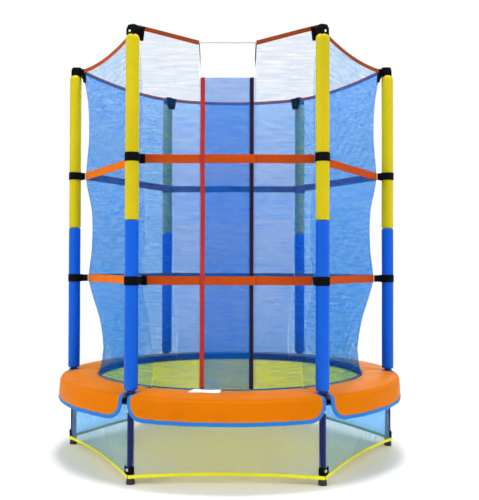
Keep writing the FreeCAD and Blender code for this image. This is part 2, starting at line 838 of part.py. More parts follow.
def net_panel(bay, span_of):
    """One panel of net from the pad to its sloping or sagging top edge."""
    thickness = mm("net_thickness")
    levels = net_levels()
    rows = []
    for height in row_heights(levels[0][0], levels[-2][0]):
        level = level_at(height)
        rows.append([on_net(bay, level, across, -thickness)
                     for across in spread(*span_of(level))])
    start = levels[-2][0]
    for share in (1 / 3, 2 / 3, 1):
        row = []
        for across in spread(*span_of(level_at(start + share * (net_top - start)))):
            height = start + share * (net_top - edge_drop(bay, across) - start)
            row.append(on_net(bay, level_at(height), across, -thickness))
        rows.append(row)
    return cloth(bay, rows, thickness)


def make_enclosure_net():
    panels = []
    for bay in range(POLES):
        if bay == FRONT_BAY:
            panels.append(net_panel(bay, lambda level: side_spans(level)[0]))
            panels.append(net_panel(bay, lambda level: side_spans(level)[1]))
        else:
            panels.append(net_panel(bay, full_span))
    return Part.makeCompound(panels)


def strap_strip(bay, height, start, end, offset):
    """A straight length of strap, level, on the outside of the net."""
    half = mm("strap_width") / 2
    level = level_at(height)
    upper = [on_net(bay, level, across, offset, height + half) for across in spread(start, end)]
    lower = [on_net(bay, level, across, offset, height - half) for across in spread(start, end)]
    return strip(bay, upper, lower, mm("strap_thickness"))


def make_strap(height):
    """A strap round the five closed bays and beside the doorway."""
    level = level_at(height)
    offset = mm("cloth_gap")
    pieces = []
    for bay in range(POLES):
        spans = side_spans(level) if bay == FRONT_BAY else [full_span(level)]
        for start, end in spans:
            pieces.append(strap_strip(bay, height, start, end, offset))
    return Part.makeCompound(pieces)


def make_top_webbing():
    """The webbing sewn along the net's top edge, from tab to tab."""
    level = net_levels()[-1]
    pieces = []
    for bay in range(POLES):
        spans = side_spans(level) if bay == FRONT_BAY else [full_span(level)]
        for start, end in spans:
            lines = []
            for lift in (mm("top_webbing_width") / 2, -mm("top_webbing_width") / 2):
                line = []
                for across in spread(start, end):
                    height = level[0] - edge_drop(bay, across)
                    here = level_at(height)
                    line.append(on_net(bay, here, across, mm("cloth_gap"), height + lift))
                lines.append(line)
            pieces.append(strip(bay, lines[0], lines[1], mm("strap_thickness")))
    return Part.makeCompound(pieces)


def door_heights():
    """The rows that a door flap follows, from above the pad to under the banner."""
    low = pad_crown_top + 2 * mm("cloth_gap") + mm("flap_spacing")
    high = banner_bottom - mm("door_gap")
    return row_heights(low, high)


def door_sheet(start, end, offset, thickness):
    rows = [[on_net(FRONT_BAY, level_at(height), across, offset)
             for across in spread(start, end)] for height in door_heights()]
    return cloth(FRONT_BAY, rows, thickness)


def make_banner():
    """The blank cloth panel above the doorway, a little narrower at its foot."""
    rows = []
    for share in (0, 0.5, 1):
        height = banner_bottom + share * mm("banner_height")
        half = mm("door_half_width") - mm("banner_taper") * (1 - share)
        rows.append([on_net(FRONT_BAY, level_at(height), across, 0, height)
                     for across in spread(-half, half)])
    return cloth(FRONT_BAY, rows, mm("strap_thickness"))


def make_pole_band(height, corner):
    """A loop round the foam with a short tail that reaches in to the strap."""
    inner = mm("foam_diameter") / 2 + mm("cloth_gap")
    outer = inner + mm("band_thickness")
    low = height - mm("band_height") / 2
    centre = Vector(pole_circle, 0, low)
    solid_loop = Part.makeCylinder(outer, mm("band_height"), centre)
    hole = Part.makeCylinder(inner, mm("band_height"), centre)
    strap_corner = pole_circle - level_at(height)[1]
    start = strap_corner + mm("strap_thickness") + 3 * mm("cloth_gap")
    half = mm("band_tab_thickness") / 2
    tail_height = mm("strap_width")
    tail = Part.makeBox(pole_circle - inner - start, 2 * half, tail_height,
                        Vector(start, -half, height - tail_height / 2))
    band = solid_loop.fuse(tail).cut(hole).removeSplitter()
    band.rotate(Vector(), Vector(0, 0, 1), corner * TURN)
    return band


def make_corner_tab(corner):
    """A strap folded over a pole's cap that holds the net's corner."""
    thick = "size.corner_tab_thickness"
    top = "(size.pole_top_height + size.end_cap_thickness + size.cloth_gap)"
    inside = f"(-size.foam_diameter / 2 - size.cloth_gap - {thick})"
    outside = "(size.end_cap_diameter / 2 + size.cloth_gap)"
    low = f"({top} - size.corner_tab_drop)"
    name = f"corner_tab_{corner + 1}"
    body = new_body(name)
    sketch = flat_sketch(body, name + "_fold", "XZ_Plane")
    draw_outline(sketch, [
        (inside, low),
        (f"({inside} + {thick})", low),
        (f"({inside} + {thick})", top),
        (outside, top),
        (outside, f"({top} - size.corner_tab_drop * 0.6)"),
        (f"({outside} + {thick})", f"({top} - size.corner_tab_drop * 0.6)"),
        (f"({outside} + {thick})", f"({top} + {thick})"),
        (inside, f"({top} + {thick})"),
    ])
    pad = body.newObject("PartDesign::Pad", name + "_width")
    pad.Profile = sketch
    pad.SideType = "Symmetric"
    pad.Length = worked_out("size.corner_tab_width")
    pad.setExpression("Length", "size.corner_tab_width")
    stand_at_corner(body, corner)
    return body


for label, strap_height in (("upper_strap", mm("upper_strap_height")),
                            ("lower_strap", mm("lower_strap_height"))):
    soft_piece(label, make_strap(strap_height))
soft_piece("enclosure_net", make_enclosure_net())
soft_piece("top_webbing", make_top_webbing())
soft_piece("entrance_banner", make_banner())

def make_door():
    """Two overlapping flaps held at opposite sides, each with webbing on its free edge."""
    net = mm("net_thickness")
    space = mm("flap_spacing")
    tape = mm("strap_thickness")
    tape_width = mm("door_webbing_width")
    side = mm("door_half_width")
    outer_end = mm("outer_flap_edge") + tape_width / 2
    inner_end = mm("inner_flap_edge") + tape_width / 2
    outside = space + net + mm("cloth_gap")
    soft_piece("outer_door_flap", door_sheet(-outer_end, side, space, net))
    soft_piece("inner_door_flap", door_sheet(-side, inner_end, -space - net, net))
    tapes = [door_sheet(-outer_end, tape_width - outer_end, outside, tape)]
    strap_start = tape_width - outer_end + mm("door_gap")
    for height in (mm("upper_strap_height"), mm("lower_strap_height")):
        tapes.append(strap_strip(FRONT_BAY, height, strap_start, side, outside))
    soft_piece("outer_flap_webbing", Part.makeCompound(tapes))
    soft_piece("inner_flap_webbing",
               door_sheet(inner_end - tape_width, inner_end, -outside - tape, tape))


make_door()
soft_piece("pole_bands", Part.makeCompound([
    make_pole_band(height, corner) for corner in range(POLES)
    for height in (mm("upper_strap_height"), mm("lower_strap_height"))]))
group("corner_tabs", [make_corner_tab(place) for place in range(POLES)])


# Skirt: net panels between the legs, a bright hem outside the legs, and corner patches

def skirt_top_row(bay):
    """The skirt's top edge, on a circle just under the rails."""
    outward, along = bay_directions(bay)
    radius = pole_circle + tube_radius / 2
    drop = math.sqrt(tube_radius ** 2 - (tube_radius / 2) ** 2) + mm("cloth_gap")
    reach = radius * math.sin(math.radians(TURN / 2)) - mm("skirt_leg_gap")
    row = []
    for across in spread(-reach, reach):
        point = outward * math.sqrt(radius ** 2 - across ** 2) + along * across
        point.z = mm("rail_axis_height") - drop
        row.append(point)
    return row


def hem_row(bay, lift, offset, end_gap):
    """A line along the hem, which rises and draws inwards between the legs. It leans out as
    the net above it does."""
    outward, along = bay_directions(bay)
    corner = pole_circle + mm("skirt_foot_stand_off")
    straight = corner * math.cos(math.radians(TURN / 2))
    half = corner * math.sin(math.radians(TURN / 2))
    top = skirt_top_row(bay)[COLUMNS // 2]
    lean = ((top.dot(outward) - straight + mm("hem_bow"))
            / (top.z - mm("hem_bottom_height") - mm("hem_rise")))
    row = []
    for across in spread(end_gap - half, half - end_gap):
        share = 1 - (across / half) ** 2
        out = straight - mm("hem_bow") * share + offset + lean * lift * share
        point = outward * out + along * across
        point.z = mm("hem_bottom_height") + lift + mm("hem_rise") * share
        row.append(point)
    return row


def make_skirt_net():
    panels = []
    for bay in range(POLES):
        lower = hem_row(bay, mm("hem_width") / 4, 0, mm("skirt_leg_gap"))
        panels.append(strip(bay, skirt_top_row(bay), lower, mm("skirt_thickness")))
    return Part.makeCompound(panels)


def make_skirt_hem():
    offset = mm("skirt_thickness") + mm("cloth_gap")
    bands = []
    for bay in range(POLES):
        lines = [hem_row(bay, lift, offset, mm("cloth_gap")) for lift in (mm("hem_width"), 0)]
        bands.append(strip(bay, lines[0], lines[1], mm("skirt_thickness")))
    return Part.makeCompound(bands)


def make_corner_patches():
    """A strong patch bent round each leg just above the hem, with an eyelet."""
    half_turn = math.radians(TURN / 2)
    corner = pole_circle + mm("skirt_foot_stand_off")
    cloth_offset = mm("skirt_thickness") + mm("cloth_gap")
    inner_apex = Vector(corner + cloth_offset / math.cos(half_turn), 0, 0)
    outer_apex = inner_apex + Vector(mm("patch_thickness") / math.cos(half_turn), 0, 0)
    plan = []
    for apex, sides in ((inner_apex, (1, -1)), (outer_apex, (-1, 1))):
        wings = [apex + Vector(-math.sin(half_turn), side * math.cos(half_turn), 0)
                 * mm("patch_reach") for side in sides]
        plan += [wings[0], apex, wings[1]]
    half = corner * math.sin(half_turn)
    hem_lift = mm("hem_rise") * (1 - (1 - mm("patch_reach") / half) ** 2)
    low = mm("hem_bottom_height") + mm("hem_width") + hem_lift + mm("cloth_gap")
    for point in plan:
        point.z = low
    patch = Part.Face(Part.Wire(lines_through(plan))).extrude(
        Vector(0, 0, mm("patch_height")))
    eyelet = Part.makeCylinder(mm("eyelet_diameter") / 2, mm("patch_reach"),
                               Vector(corner, 0, low + mm("patch_height") / 2),
                               Vector(1, 0, 0))
    return Part.makeCompound(at_every_corner(patch.cut(eyelet)))


soft_piece("skirt_net", make_skirt_net())
soft_piece("skirt_hem", make_skirt_hem())
soft_piece("skirt_corner_patches", make_corner_patches())


# Checks, then one file for each sub-part

doc.recompute()
for thing in doc.Objects:
    if "Invalid" in thing.State or "Error" in thing.State:
        raise ValueError(thing.Label + " failed: " + str(thing.State))
os.makedirs("parts", exist_ok=True)
for label in names:
    shape = doc.getObjectsByLabel(label)[0].Shape
    if shape.isNull() or not shape.isValid():
        raise ValueError(label + " has no valid shape")
    for solid in shape.Solids:
        if solid.Volume <= 0:
            raise ValueError(label + " has a solid turned inside out")
    if not shape.Solids:
        raise ValueError(label + " has no solid")
    shape.exportStep(f"parts/{label}.step")
    print(label, len(shape.Solids), "solids", round(shape.Volume / 1000, 1), "cm3")
print(len(names), "sub-parts")
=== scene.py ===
import json
import math

import bpy
import numpy as np
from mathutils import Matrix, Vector


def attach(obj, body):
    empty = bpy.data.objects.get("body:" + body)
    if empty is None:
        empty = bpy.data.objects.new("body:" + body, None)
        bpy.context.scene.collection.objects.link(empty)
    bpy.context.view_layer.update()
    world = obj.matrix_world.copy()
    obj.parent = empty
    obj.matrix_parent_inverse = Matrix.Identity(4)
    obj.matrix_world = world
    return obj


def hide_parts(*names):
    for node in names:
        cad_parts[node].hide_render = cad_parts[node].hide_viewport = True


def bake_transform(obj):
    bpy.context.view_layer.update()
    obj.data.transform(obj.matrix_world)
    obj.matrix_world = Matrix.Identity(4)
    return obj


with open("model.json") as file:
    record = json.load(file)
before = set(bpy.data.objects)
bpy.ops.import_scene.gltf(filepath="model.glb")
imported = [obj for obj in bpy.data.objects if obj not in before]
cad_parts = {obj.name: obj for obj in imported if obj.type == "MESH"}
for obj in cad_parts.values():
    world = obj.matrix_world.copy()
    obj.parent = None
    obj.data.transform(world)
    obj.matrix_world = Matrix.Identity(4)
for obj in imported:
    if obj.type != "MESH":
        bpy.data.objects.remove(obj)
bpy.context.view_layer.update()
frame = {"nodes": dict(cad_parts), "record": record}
print("frame loaded:", len(frame["nodes"]), "nodes")

sideCount = 6
poleCircle = 0.680
halfTurn = math.pi / sideCount
frontSide = 4               # the side with the doorway, facing -Y
upperStrap, lowerStrap = 1.161, 0.719
scene = bpy.context.scene


def placed(name, data):
    # A new object in the scene.
    thing = bpy.data.objects.new(name, data)
    scene.collection.objects.link(thing)
    return thing


view = {"place": (0.074, -3.250, 0.777), "pitch": 1.13, "turn": 0.63, "roll": -0.14, "lens": 53.83}

camera = placed("camera", bpy.data.cameras.new("camera"))
camera.location = view["place"]
camera.rotation_euler = (math.radians(90 + view["pitch"]), math.radians(view["roll"]),
                         math.radians(view["turn"]))
camera.data.lens = view["lens"]
camera.data.sensor_width = 36
camera.data.clip_end = 60
scene.camera = camera
scene.view_settings.view_transform = "Standard"
scene.cycles.transparent_max_bounces = 32   # a look through the nets crosses many layers


def tone(red, green, blue):
    # A colour given as 0 to 255 on screen, as the linear colour that a shader takes.
    screen = np.array([red, green, blue]) / 255
    linear = np.where(screen <= 0.04045, screen / 12.92, ((screen + 0.055) / 1.055) ** 2.4)
    return (*linear.tolist(), 1.0)


def adder(tree):
    # A function that adds a node to the tree, with its inputs linked or set.
    def add(kind, inputs=(), **settings):
        node = tree.nodes.new("ShaderNode" + kind)
        for key, value in settings.items():
            setattr(node, key, value)
        for key, value in dict(inputs).items():
            if isinstance(value, bpy.types.NodeSocket):
                tree.links.new(value, node.inputs[key])
            else:
                node.inputs[key].default_value = value
        return node.outputs[0]

    return add


def startMaterial(name, colour, roughness, **sockets):
    # A new material, the function that adds its nodes, and one that links into its shader.
    material = bpy.data.materials.new(name)
    material.use_nodes = True
    tree = material.node_tree
    shader = tree.nodes["Principled BSDF"]
    for socket, value in {"Base Color": colour, "Roughness": roughness, **sockets}.items():
        shader.inputs[socket.replace("_", " ")].default_value = value

    def into(socket, value):
        tree.links.new(value, shader.inputs[socket])

    return material, adder(tree), into


def overlaid(material, add, share, second):
    # Mix another shader over the material's own one.
    tree = material.node_tree
    blend = add("MixShader", {0: share, 1: tree.nodes["Principled BSDF"].outputs[0], 2: second})
    tree.links.new(blend, tree.nodes["Material Output"].inputs["Surface"])


def maths(add, kind, *values):
    return add("Math", dict(enumerate(values)), operation=kind)


def remap(add, value, low, high, newLow, newHigh, smooth=False):
    return add("MapRange", {"Value": value, "From Min": low, "From Max": high,
                            "To Min": newLow, "To Max": newHigh},
               interpolation_type="SMOOTHSTEP" if smooth else "LINEAR")


def mixed(add, share, first, second):
    return add("Mix", {0: share, 6: first, 7: second}, data_type="RGBA").node.outputs[2]


def toned(add, into, colour, value, dark, light, low=0.3, high=0.7):
    # The colour times dark where the value is low, and times light where it is high.
    ends = [tuple(min(1.0, part * amount) for part in colour[:3]) + (1.0,)
            for amount in (dark, light)]
    into("Base Color", mixed(add, remap(add, value, low, high, 0, 1), *ends))


def noise(add, place, scale, detail=3, roughness=0.55, distortion=0.0):
    return add("TexNoise", {"Vector": place, "Scale": scale, "Detail": detail,
                            "Roughness": roughness, "Distortion": distortion})


def pieceSpace(add, stretch=(1, 1, 1)):
    # The piece's own metres, stretched.
    coordinates = add("TexCoord").node.outputs["Object"]
    return add("Mapping", {"Vector": coordinates, "Scale": stretch})


def clothSpace(add):
    # The two flat directions of a cloth piece, in metres.
    parts = add("SeparateXYZ", {0: add("UVMap", uv_map="cloth")}).node
    return parts.outputs["X"], parts.outputs["Y"]


def bumped(add, into, height, depth):
    into("Normal", add("Bump", {"Strength": 1.0, "Distance": depth, "Height": height}))


def hardFinish(name, colour, roughness, grain, metal=0.0, shine=0.5):
    # Moulded, painted or plated: a fine grain in the gloss and surface, and faint cloudy tones.
    material, add, into = startMaterial(name, colour, roughness, Metallic=metal,
                                        Specular_IOR_Level=shine)
    toned(add, into, colour, noise(add, pieceSpace(add), 9, 4), 0.94, 1.06)
    fine = noise(add, pieceSpace(add), grain, 2)
    into("Roughness", remap(add, fine, 0.25, 0.75, roughness * 0.82, roughness * 1.22))
    bumped(add, into, fine, 0.00004)
    return material


def foamFinish(name, colour):
    # Smooth closed-cell foam: small soft cells, faint dents and a little cloudiness.
    material, add, into = startMaterial(name, colour, 0.5, Specular_IOR_Level=0.14)
    cells = add("TexVoronoi", {"Vector": pieceSpace(add), "Scale": 420}, feature="SMOOTH_F1")
    dents = noise(add, pieceSpace(add, (1, 1, 0.35)), 34)
    toned(add, into, colour, noise(add, pieceSpace(add, (1, 1, 0.4)), 7), 0.93, 1.05)
    into("Roughness", remap(add, dents, 0.3, 0.7, 0.4, 0.56))
    bumped(add, into, maths(add, "MULTIPLY_ADD", dents, 4.0, cells), 0.00009)
    return material


def vinylFinish(name, colour):
    # Coated cloth: a fine embossed grain, soft creases and slightly uneven gloss.
    material, add, into = startMaterial(name, colour, 0.5, Specular_IOR_Level=0.02)
    grain = add("TexVoronoi", {"Vector": pieceSpace(add), "Scale": 700}, feature="SMOOTH_F1")
    crease = noise(add, pieceSpace(add), 26, 4, 0.5, 0.6)
    toned(add, into, colour, noise(add, pieceSpace(add), 5), 0.94, 1.05)
    into("Roughness", remap(add, crease, 0.3, 0.7, 0.4, 0.56))
    bumped(add, into, maths(add, "MULTIPLY_ADD", crease, 7.0, grain), 0.00012)
    return material


def wovenFinish(name, colour, threads, depth=0.00018, roughness=0.72, contrast=0.26, shine=0.12):
    # Plain weave on the flat directions: the product of two waves, one for each set of threads.
    material, add, into = startMaterial(name, colour, roughness, Specular_IOR_Level=shine)
    waves = [maths(add, "SINE", maths(add, "MULTIPLY", place, math.tau * count / 2))
             for place, count in zip(clothSpace(add), threads)]
    weave = maths(add, "MULTIPLY", *waves)
    cloud = noise(add, pieceSpace(add), 14, 4)
    light = maths(add, "MULTIPLY_ADD", weave, 0.3, cloud)
    toned(add, into, colour, light, 1 - contrast, 1 + contrast / 2, 0.1, 0.9)
    into("Roughness", remap(add, cloud, 0.3, 0.7, roughness - 0.08, roughness + 0.1))
    bumped(add, into, weave, depth)
    return material


netThread = {"cell": (0.0040, 0.0030), "passed": (0.05, 0.52, 0.95, 1.0), "share": 0.6,
             "span": (0.4, 1.35), "streakAcross": 6.0, "streakUp": 74.0}


def netFinish(name, colour, head, foot, streaks=0.4, passed=netThread["passed"],
              span=netThread["span"]):
    # Knitted net: |sin(pi(x/w + y/h))| |sin(pi(x/w - y/h))| is 0 on two slanting families of
    # threads and 1 in the holes. It is thread where this is under a limit that goes from foot to
    # head with the height and wavers with streaks drawn out along the rows. The thin threads let
    # a share of the light pass, tinted.
    material, add, into = startMaterial(name, colour, 0.75, Specular_IOR_Level=0.08)
    across, up = clothSpace(add)
    wide, high = (math.pi / size for size in netThread["cell"])
    waves = []
    for slant in (high, -high):
        angle = maths(add, "MULTIPLY_ADD", across, wide, maths(add, "MULTIPLY", up, slant))
        waves.append(maths(add, "ABSOLUTE", maths(add, "SINE", angle)))
    hole = maths(add, "MULTIPLY", *waves)
    drawn = add("CombineXYZ", {"X": maths(add, "MULTIPLY", across, netThread["streakAcross"]),
                               "Y": maths(add, "MULTIPLY", up, netThread["streakUp"])})
    streak = noise(add, drawn, 1.6, 3, 0.6, 0.5)
    # painted shade: a higher limit at the foot draws the net denser, so darker, lower down
    limit = remap(add, up, *span, foot - streaks / 2, head - streaks / 2)
    limit = maths(add, "MULTIPLY_ADD", streak, streaks, limit)
    cover = remap(add, maths(add, "SUBTRACT", hole, limit), -0.07, 0.07, 0.96, 0.01, True)
    into("Alpha", cover)
    toned(add, into, colour, streak, 0.72, 1.2)
    bumped(add, into, maths(add, "MULTIPLY", hole, -1.0), 0.0004)
    tinted = add("BsdfTransparent", {"Color": mixed(add, cover, (1, 1, 1, 1), passed)})
    overlaid(material, add, netThread["share"], tinted)
    return material


def cordFinish(name, colour):
    # Twisted cord: slanting waves round and along it.
    material, add, into = startMaterial(name, colour, 0.7, Sheen_Weight=0.2)
    along, across = clothSpace(add)
    angle = maths(add, "MULTIPLY_ADD", along, 1500.0, maths(add, "MULTIPLY", across, 1700.0))
    twist = maths(add, "SINE", angle)
    toned(add, into, colour, twist, 0.6, 1.25, -1, 1)
    bumped(add, into, twist, 0.0003)
    return material


# each finish: its maker, its colour on screen, and the maker's other values
finishRows = {
    "navy_paint": (hardFinish, (3, 16, 82), 0.36, 240, 0.0, 0.18),
    "black_rubber": (hardFinish, (26, 27, 33), 0.62, 420),
    "black_plastic": (hardFinish, (22, 22, 27), 0.4, 500),
    "zinc_steel": (hardFinish, (196, 200, 206), 0.3, 330, 1.0),
    "steel ring": (hardFinish, (226, 228, 232), 0.25, 300, 0.6),
    "blue_foam": (foamFinish, (2, 88, 200)),
    "yellow_foam": (foamFinish, (200, 181, 6)),
    "orange_vinyl": (vinylFinish, (210, 112, 4)),
    "navy_cord": (cordFinish, (24, 34, 84)),
    "yellow_mat_cloth": (wovenFinish, (236, 218, 12), (560, 560), 0.00025, 0.6, 0.3, 0.05),
    "navy_webbing": (wovenFinish, (28, 44, 120), (420, 700)),
    "blue_binding": (wovenFinish, (38, 116, 194), (900, 900), 0.0001, 0.6, 0.16),
    "orange_webbing": (wovenFinish, (186, 70, 8), (520, 640)),
    # painted light and shade: the next two rows are the orange webbing made lighter and darker for
    # how the key lamp falls on it
    "bright orange webbing": (wovenFinish, (226, 113, 14), (520, 640)),
    "dull orange webbing": (wovenFinish, (148, 64, 22), (520, 640)),
    "red_webbing": (wovenFinish, (180, 46, 40), (620, 620)),
    "dark red webbing": (wovenFinish, (44, 12, 26), (620, 620)),
    "black_webbing": (wovenFinish, (5, 5, 7), (420, 640), 0.0002, 0.78, 0.35, 0.08),
    "white_cloth": (wovenFinish, (252, 252, 252), (1300, 1300), 0.00008, 0.75, 0.05),
    "yellow_hem_tape": (wovenFinish, (246, 244, 40), (800, 800), 0.0001, 0.65, 0.16),
    "pale thread": (wovenFinish, (140, 140, 150), (2500, 2500), 0.00004, 0.6, 0.2),
    "dark thread": (wovenFinish, (52, 52, 66), (2500, 2500), 0.00004, 0.6, 0.2),
    "dark orange thread": (wovenFinish, (176, 80, 8), (2500, 2500), 0.00004, 0.6, 0.2),
    # painted shade: the next five rows are copies of one net, one per bay and the door; every copy
    # but blue_net is drawn denser and darker, for the shade it stands in
    "blue_net": (netFinish, (36, 124, 206), 0.06, 0.21),
    "side net": (netFinish, (30, 122, 206), 0.14, 0.27),
    "far net": (netFinish, (52, 122, 210), 0.32, 0.325),
    "back net": (netFinish, (44, 124, 196), 0.32, 0.50, 0.4, netThread["passed"], (1.15, 1.6)),
    "door net": (netFinish, (10, 124, 206), 0.20, 0.34),
    # painted light and shade: the next three rows are one skirt net copied per side, with tone,
    # cover and passed tint set for the light each side gets
    "skirt_net_cloth": (netFinish, (222, 232, 255), 0.07, 0.20, 0.1, (0.80, 0.88, 1.0, 1.0)),
    "side skirt net": (netFinish, (160, 208, 255), 0.22, 0.26, 0.1, (0.45, 0.76, 1.0, 1.0)),
    "far skirt net": (netFinish, (70, 176, 255), 0.34, 0.34, 0.1),
}
finish = {name: make(name.replace("_", " "), tone(*colour), *rest)
          for name, (make, colour, *rest) in finishRows.items()}

# some light shines through the mat from its other side
cloth = finish["yellow_mat_cloth"]
add = adder(cloth.node_tree)
overlaid(cloth, add, 0.48, add("BsdfTranslucent", {"Color": tone(255, 246, 90)}))

cadFinish = {"leg": "navy_paint", "top_rail": "navy_paint", "lower_pole": "navy_paint",
             "upper_pole": "navy_paint", "foot_caps": "black_rubber",
             "pole_end_caps": "black_plastic", "joint_bolts": "zinc_steel",
             "mat_rings": "zinc_steel"}
for node, piece in frame["nodes"].items():
    for start, slot in cadFinish.items():
        if node.startswith(start):
            piece.data.materials.clear()
            piece.data.materials.append(finish[slot])
print("finishes ready:", len(finish))


def unit(vectors):
    return vectors / np.maximum(np.linalg.norm(vectors, axis=-1, keepdims=True), 1e-12)


def onCircle(radius, angle, height):
    # Points from their radius, angle and height.
    return np.stack(np.broadcast_arrays(radius * np.cos(angle), radius * np.sin(angle), height), -1)


def wholeTurn(count):
    return np.linspace(0, math.tau, count, endpoint=False)


def ripples(draw, counts, place):
    # A sum of waves along a place, smaller as they get finer, each with a start drawn at random.
    return sum(np.sin(count * 3 * place + draw.uniform(0, math.tau)) / count ** 0.5
               for count in counts)


def steps(rows, columns, start=0):
    # Shares from 0 to 1 down the rows, and from start to 1 along the columns.
    return np.linspace(0, 1, rows)[:, None], np.linspace(start, 1, columns)[None, :]


def runLength(line, closed=False):
    # The distance walked along a line at each of its points, and back to its start when closed.
    ends = np.concatenate([line, line[:1]]) if closed else line
    return np.concatenate([[0.0], np.cumsum(np.linalg.norm(np.diff(ends, axis=0), axis=1))])


def sampled(at, walked, values):
    # Rows of values, read off at given distances along their line.
    return np.stack([np.interp(at, walked, column) for column in values.T], 1)


def smoothLine(corners, count, cuts=3):
    # A line through rounded corners: each corner is cut a few times, then evenly spaced points
    # are taken.
    line = np.asarray(corners, float)
    for _ in range(cuts):
        here, ahead = line[:-1], line[1:]
        cut = np.stack([0.75 * here + 0.25 * ahead, 0.25 * here + 0.75 * ahead], 1)
        line = np.concatenate([line[:1], cut.reshape(-1, line.shape[1]), line[-1:]])
    walked = runLength(line)
    return sampled(np.linspace(0, walked[-1], count), walked, line)


def gridFaces(rows, columns, wrapRows=False, wrapColumns=False):
    # Four-cornered faces over a grid, with each corner's row and column before wrapping.
    i, j = np.meshgrid(np.arange(rows - (not wrapRows)), np.arange(columns - (not wrapColumns)),
                       indexing="ij")
    i, j = i.ravel(), j.ravel()
    ii, jj = np.stack([i, i, i + 1, i + 1], 1), np.stack([j, j + 1, j + 1, j], 1)
    return (ii % rows) * columns + jj % columns, ii, jj


def facedOut(points, faces, flat):
    # Faces turned so that the shape's signed volume is positive.
    a, b, c, d = (points[faces[:, k]] for k in range(4))
    volume = (a * np.cross(b, c)).sum() + (a * np.cross(c, d)).sum()
    return (points, faces, flat) if volume > 0 else (points, faces[:, ::-1], flat[:, ::-1])


def joined(shapes):
    # Several shapes as one.
    counts = np.cumsum([0] + [len(points) for points, _, _ in shapes[:-1]])
    return (np.concatenate([points for points, _, _ in shapes]),
            np.concatenate([faces + n for (_, faces, _), n in zip(shapes, counts)]),
            np.concatenate([flat for _, _, flat in shapes]))


def turnedShape(shape, angle):
    # A shape turned about the vertical axis.
    c, s = math.cos(angle), math.sin(angle)
    x, y, z = shape[0].T
    return np.stack([x * c - y * s, x * s + y * c, z], -1), shape[1], shape[2]


def swept(line, outward, section, closed=False):
    # An outline carried along a line: the line's point, plus the outline's first number sideways
    # and its second number outward. Its flat directions are the way along and the way sideways.
    outward = np.broadcast_to(outward, line.shape)
    ahead = np.roll(line, -1, 0) - np.roll(line, 1, 0) if closed else np.gradient(line, axis=0)
    tangent = unit(ahead)
    sideways = unit(np.cross(outward, tangent))
    above = np.cross(tangent, sideways)
    outline = np.broadcast_to(section, (len(line),) + section.shape[-2:])
    grid = (line[:, None] + outline[..., :1] * sideways[:, None]
            + outline[..., 1:] * above[:, None])
    rows, columns = grid.shape[:2]
    faces, i, j = gridFaces(rows, columns, closed, True)
    walked = runLength(line, closed)
    flat = np.stack([walked[i], outline[i % rows, j % columns, 0]], -1)
    if not closed:
        k = np.arange(columns // 2 - 1)
        ring = np.stack([k, k + 1, columns - 2 - k, columns - 1 - k], 1)
        for cap, row in ((ring[:, ::-1], 0), (ring, rows - 1)):
            faces = np.concatenate([faces, cap + row * columns])
            across = outline[row, cap, 0]
            ends = np.stack([np.full(across.shape, walked[row]), across], -1)
            flat = np.concatenate([flat, ends])
    return facedOut(grid.reshape(-1, 3), faces, flat)


def flatSection(width, thick, count=16, power=0.3):
    # A rounded rectangle: a circle with both directions raised to a small power.
    angle = (np.arange(count) + 0.5) * math.tau / count
    c, s = np.cos(angle), np.sin(angle)
    return np.stack([width / 2 * np.sign(c) * np.abs(c) ** power,
                     thick / 2 * np.sign(s) * np.abs(s) ** power], -1)


def roundSection(radius, count=10):
    angle = np.arange(count) * math.tau / count
    return np.stack([radius * np.cos(angle), radius * np.sin(angle)], -1)


def slab(front, back, flat):
    # A closed sheet between two grids, with its four edges walled.
    rows, columns = front.shape[:2]
    faces = gridFaces(rows, columns)[0]
    count = rows * columns
    index = np.arange(count).reshape(rows, columns)
    rim = np.concatenate([index[0, :-1], index[:-1, -1], index[-1, :0:-1], index[:0:-1, 0]])
    nextRim = np.roll(rim, -1)
    walls = np.stack([rim, nextRim, nextRim + count, rim + count], 1)
    flatPoints = flat.reshape(-1, 2)
    corners = flatPoints[faces]
    wallFlat = flatPoints[np.stack([rim, nextRim, nextRim, rim], 1)]
    points = np.concatenate([front.reshape(-1, 3), back.reshape(-1, 3)])
    return facedOut(points, np.concatenate([faces, faces[:, ::-1] + count, walls[:, ::-1]]),
                    np.concatenate([corners, corners[:, ::-1], wallFlat[:, ::-1]]))


def gridNormals(grid):
    return unit(np.cross(np.gradient(grid, axis=1), np.gradient(grid, axis=0)))


def clothSheet(grid, thick, across, up):
    # A closed sheet of even thickness about a grid, with its two flat directions.
    normals = gridNormals(grid) * thick / 2
    return slab(grid - normals, grid + normals, np.stack(np.broadcast_arrays(across, up), -1))


def copies(shape, places, along, sideways):
    # One small shape set at many places, its three axes laid along, sideways and outward.
    points, faces, flat = shape
    outward = np.cross(along, sideways)
    moved = (places[:, None] + points[None, :, :1] * along[:, None]
             + points[None, :, 1:2] * sideways[:, None] + points[None, :, 2:] * outward[:, None])
    count = len(places)
    allFaces = faces[None] + (np.arange(count) * len(points))[:, None, None]
    return moved.reshape(-1, 3), allFaces.reshape(-1, 4), np.tile(flat, (count, 1, 1))


def stitches(line, outward, length=0.0034, gap=0.0012, radius=0.00035):
    # A row of short threads along a line, each one a small spindle that dips into the cloth.
    walked = runLength(line)
    starts = np.arange(gap / 2 + length / 2, walked[-1] - length / 2, length + gap)
    tangent = unit(sampled(starts, walked, np.gradient(line, axis=0)))
    outward = unit(sampled(starts, walked, np.broadcast_to(outward, line.shape)))
    sideways = unit(np.cross(outward, tangent))
    share = np.array([-1, -0.45, 0.45, 1])
    spindle = np.stack([share * length / 2, 0 * share, radius * (0.35 - 0.9 * share ** 4)], 1)
    thickness = radius * np.array([0.35, 1.0, 1.0, 0.35])
    shape = swept(spindle, (0, 0, 1), roundSection(1.0, 6)[None] * thickness[:, None, None])
    return copies(shape, sampled(starts, walked, line), tangent, sideways)


cadSlots = [material["slot"] for material in frame["record"]["materials"]]


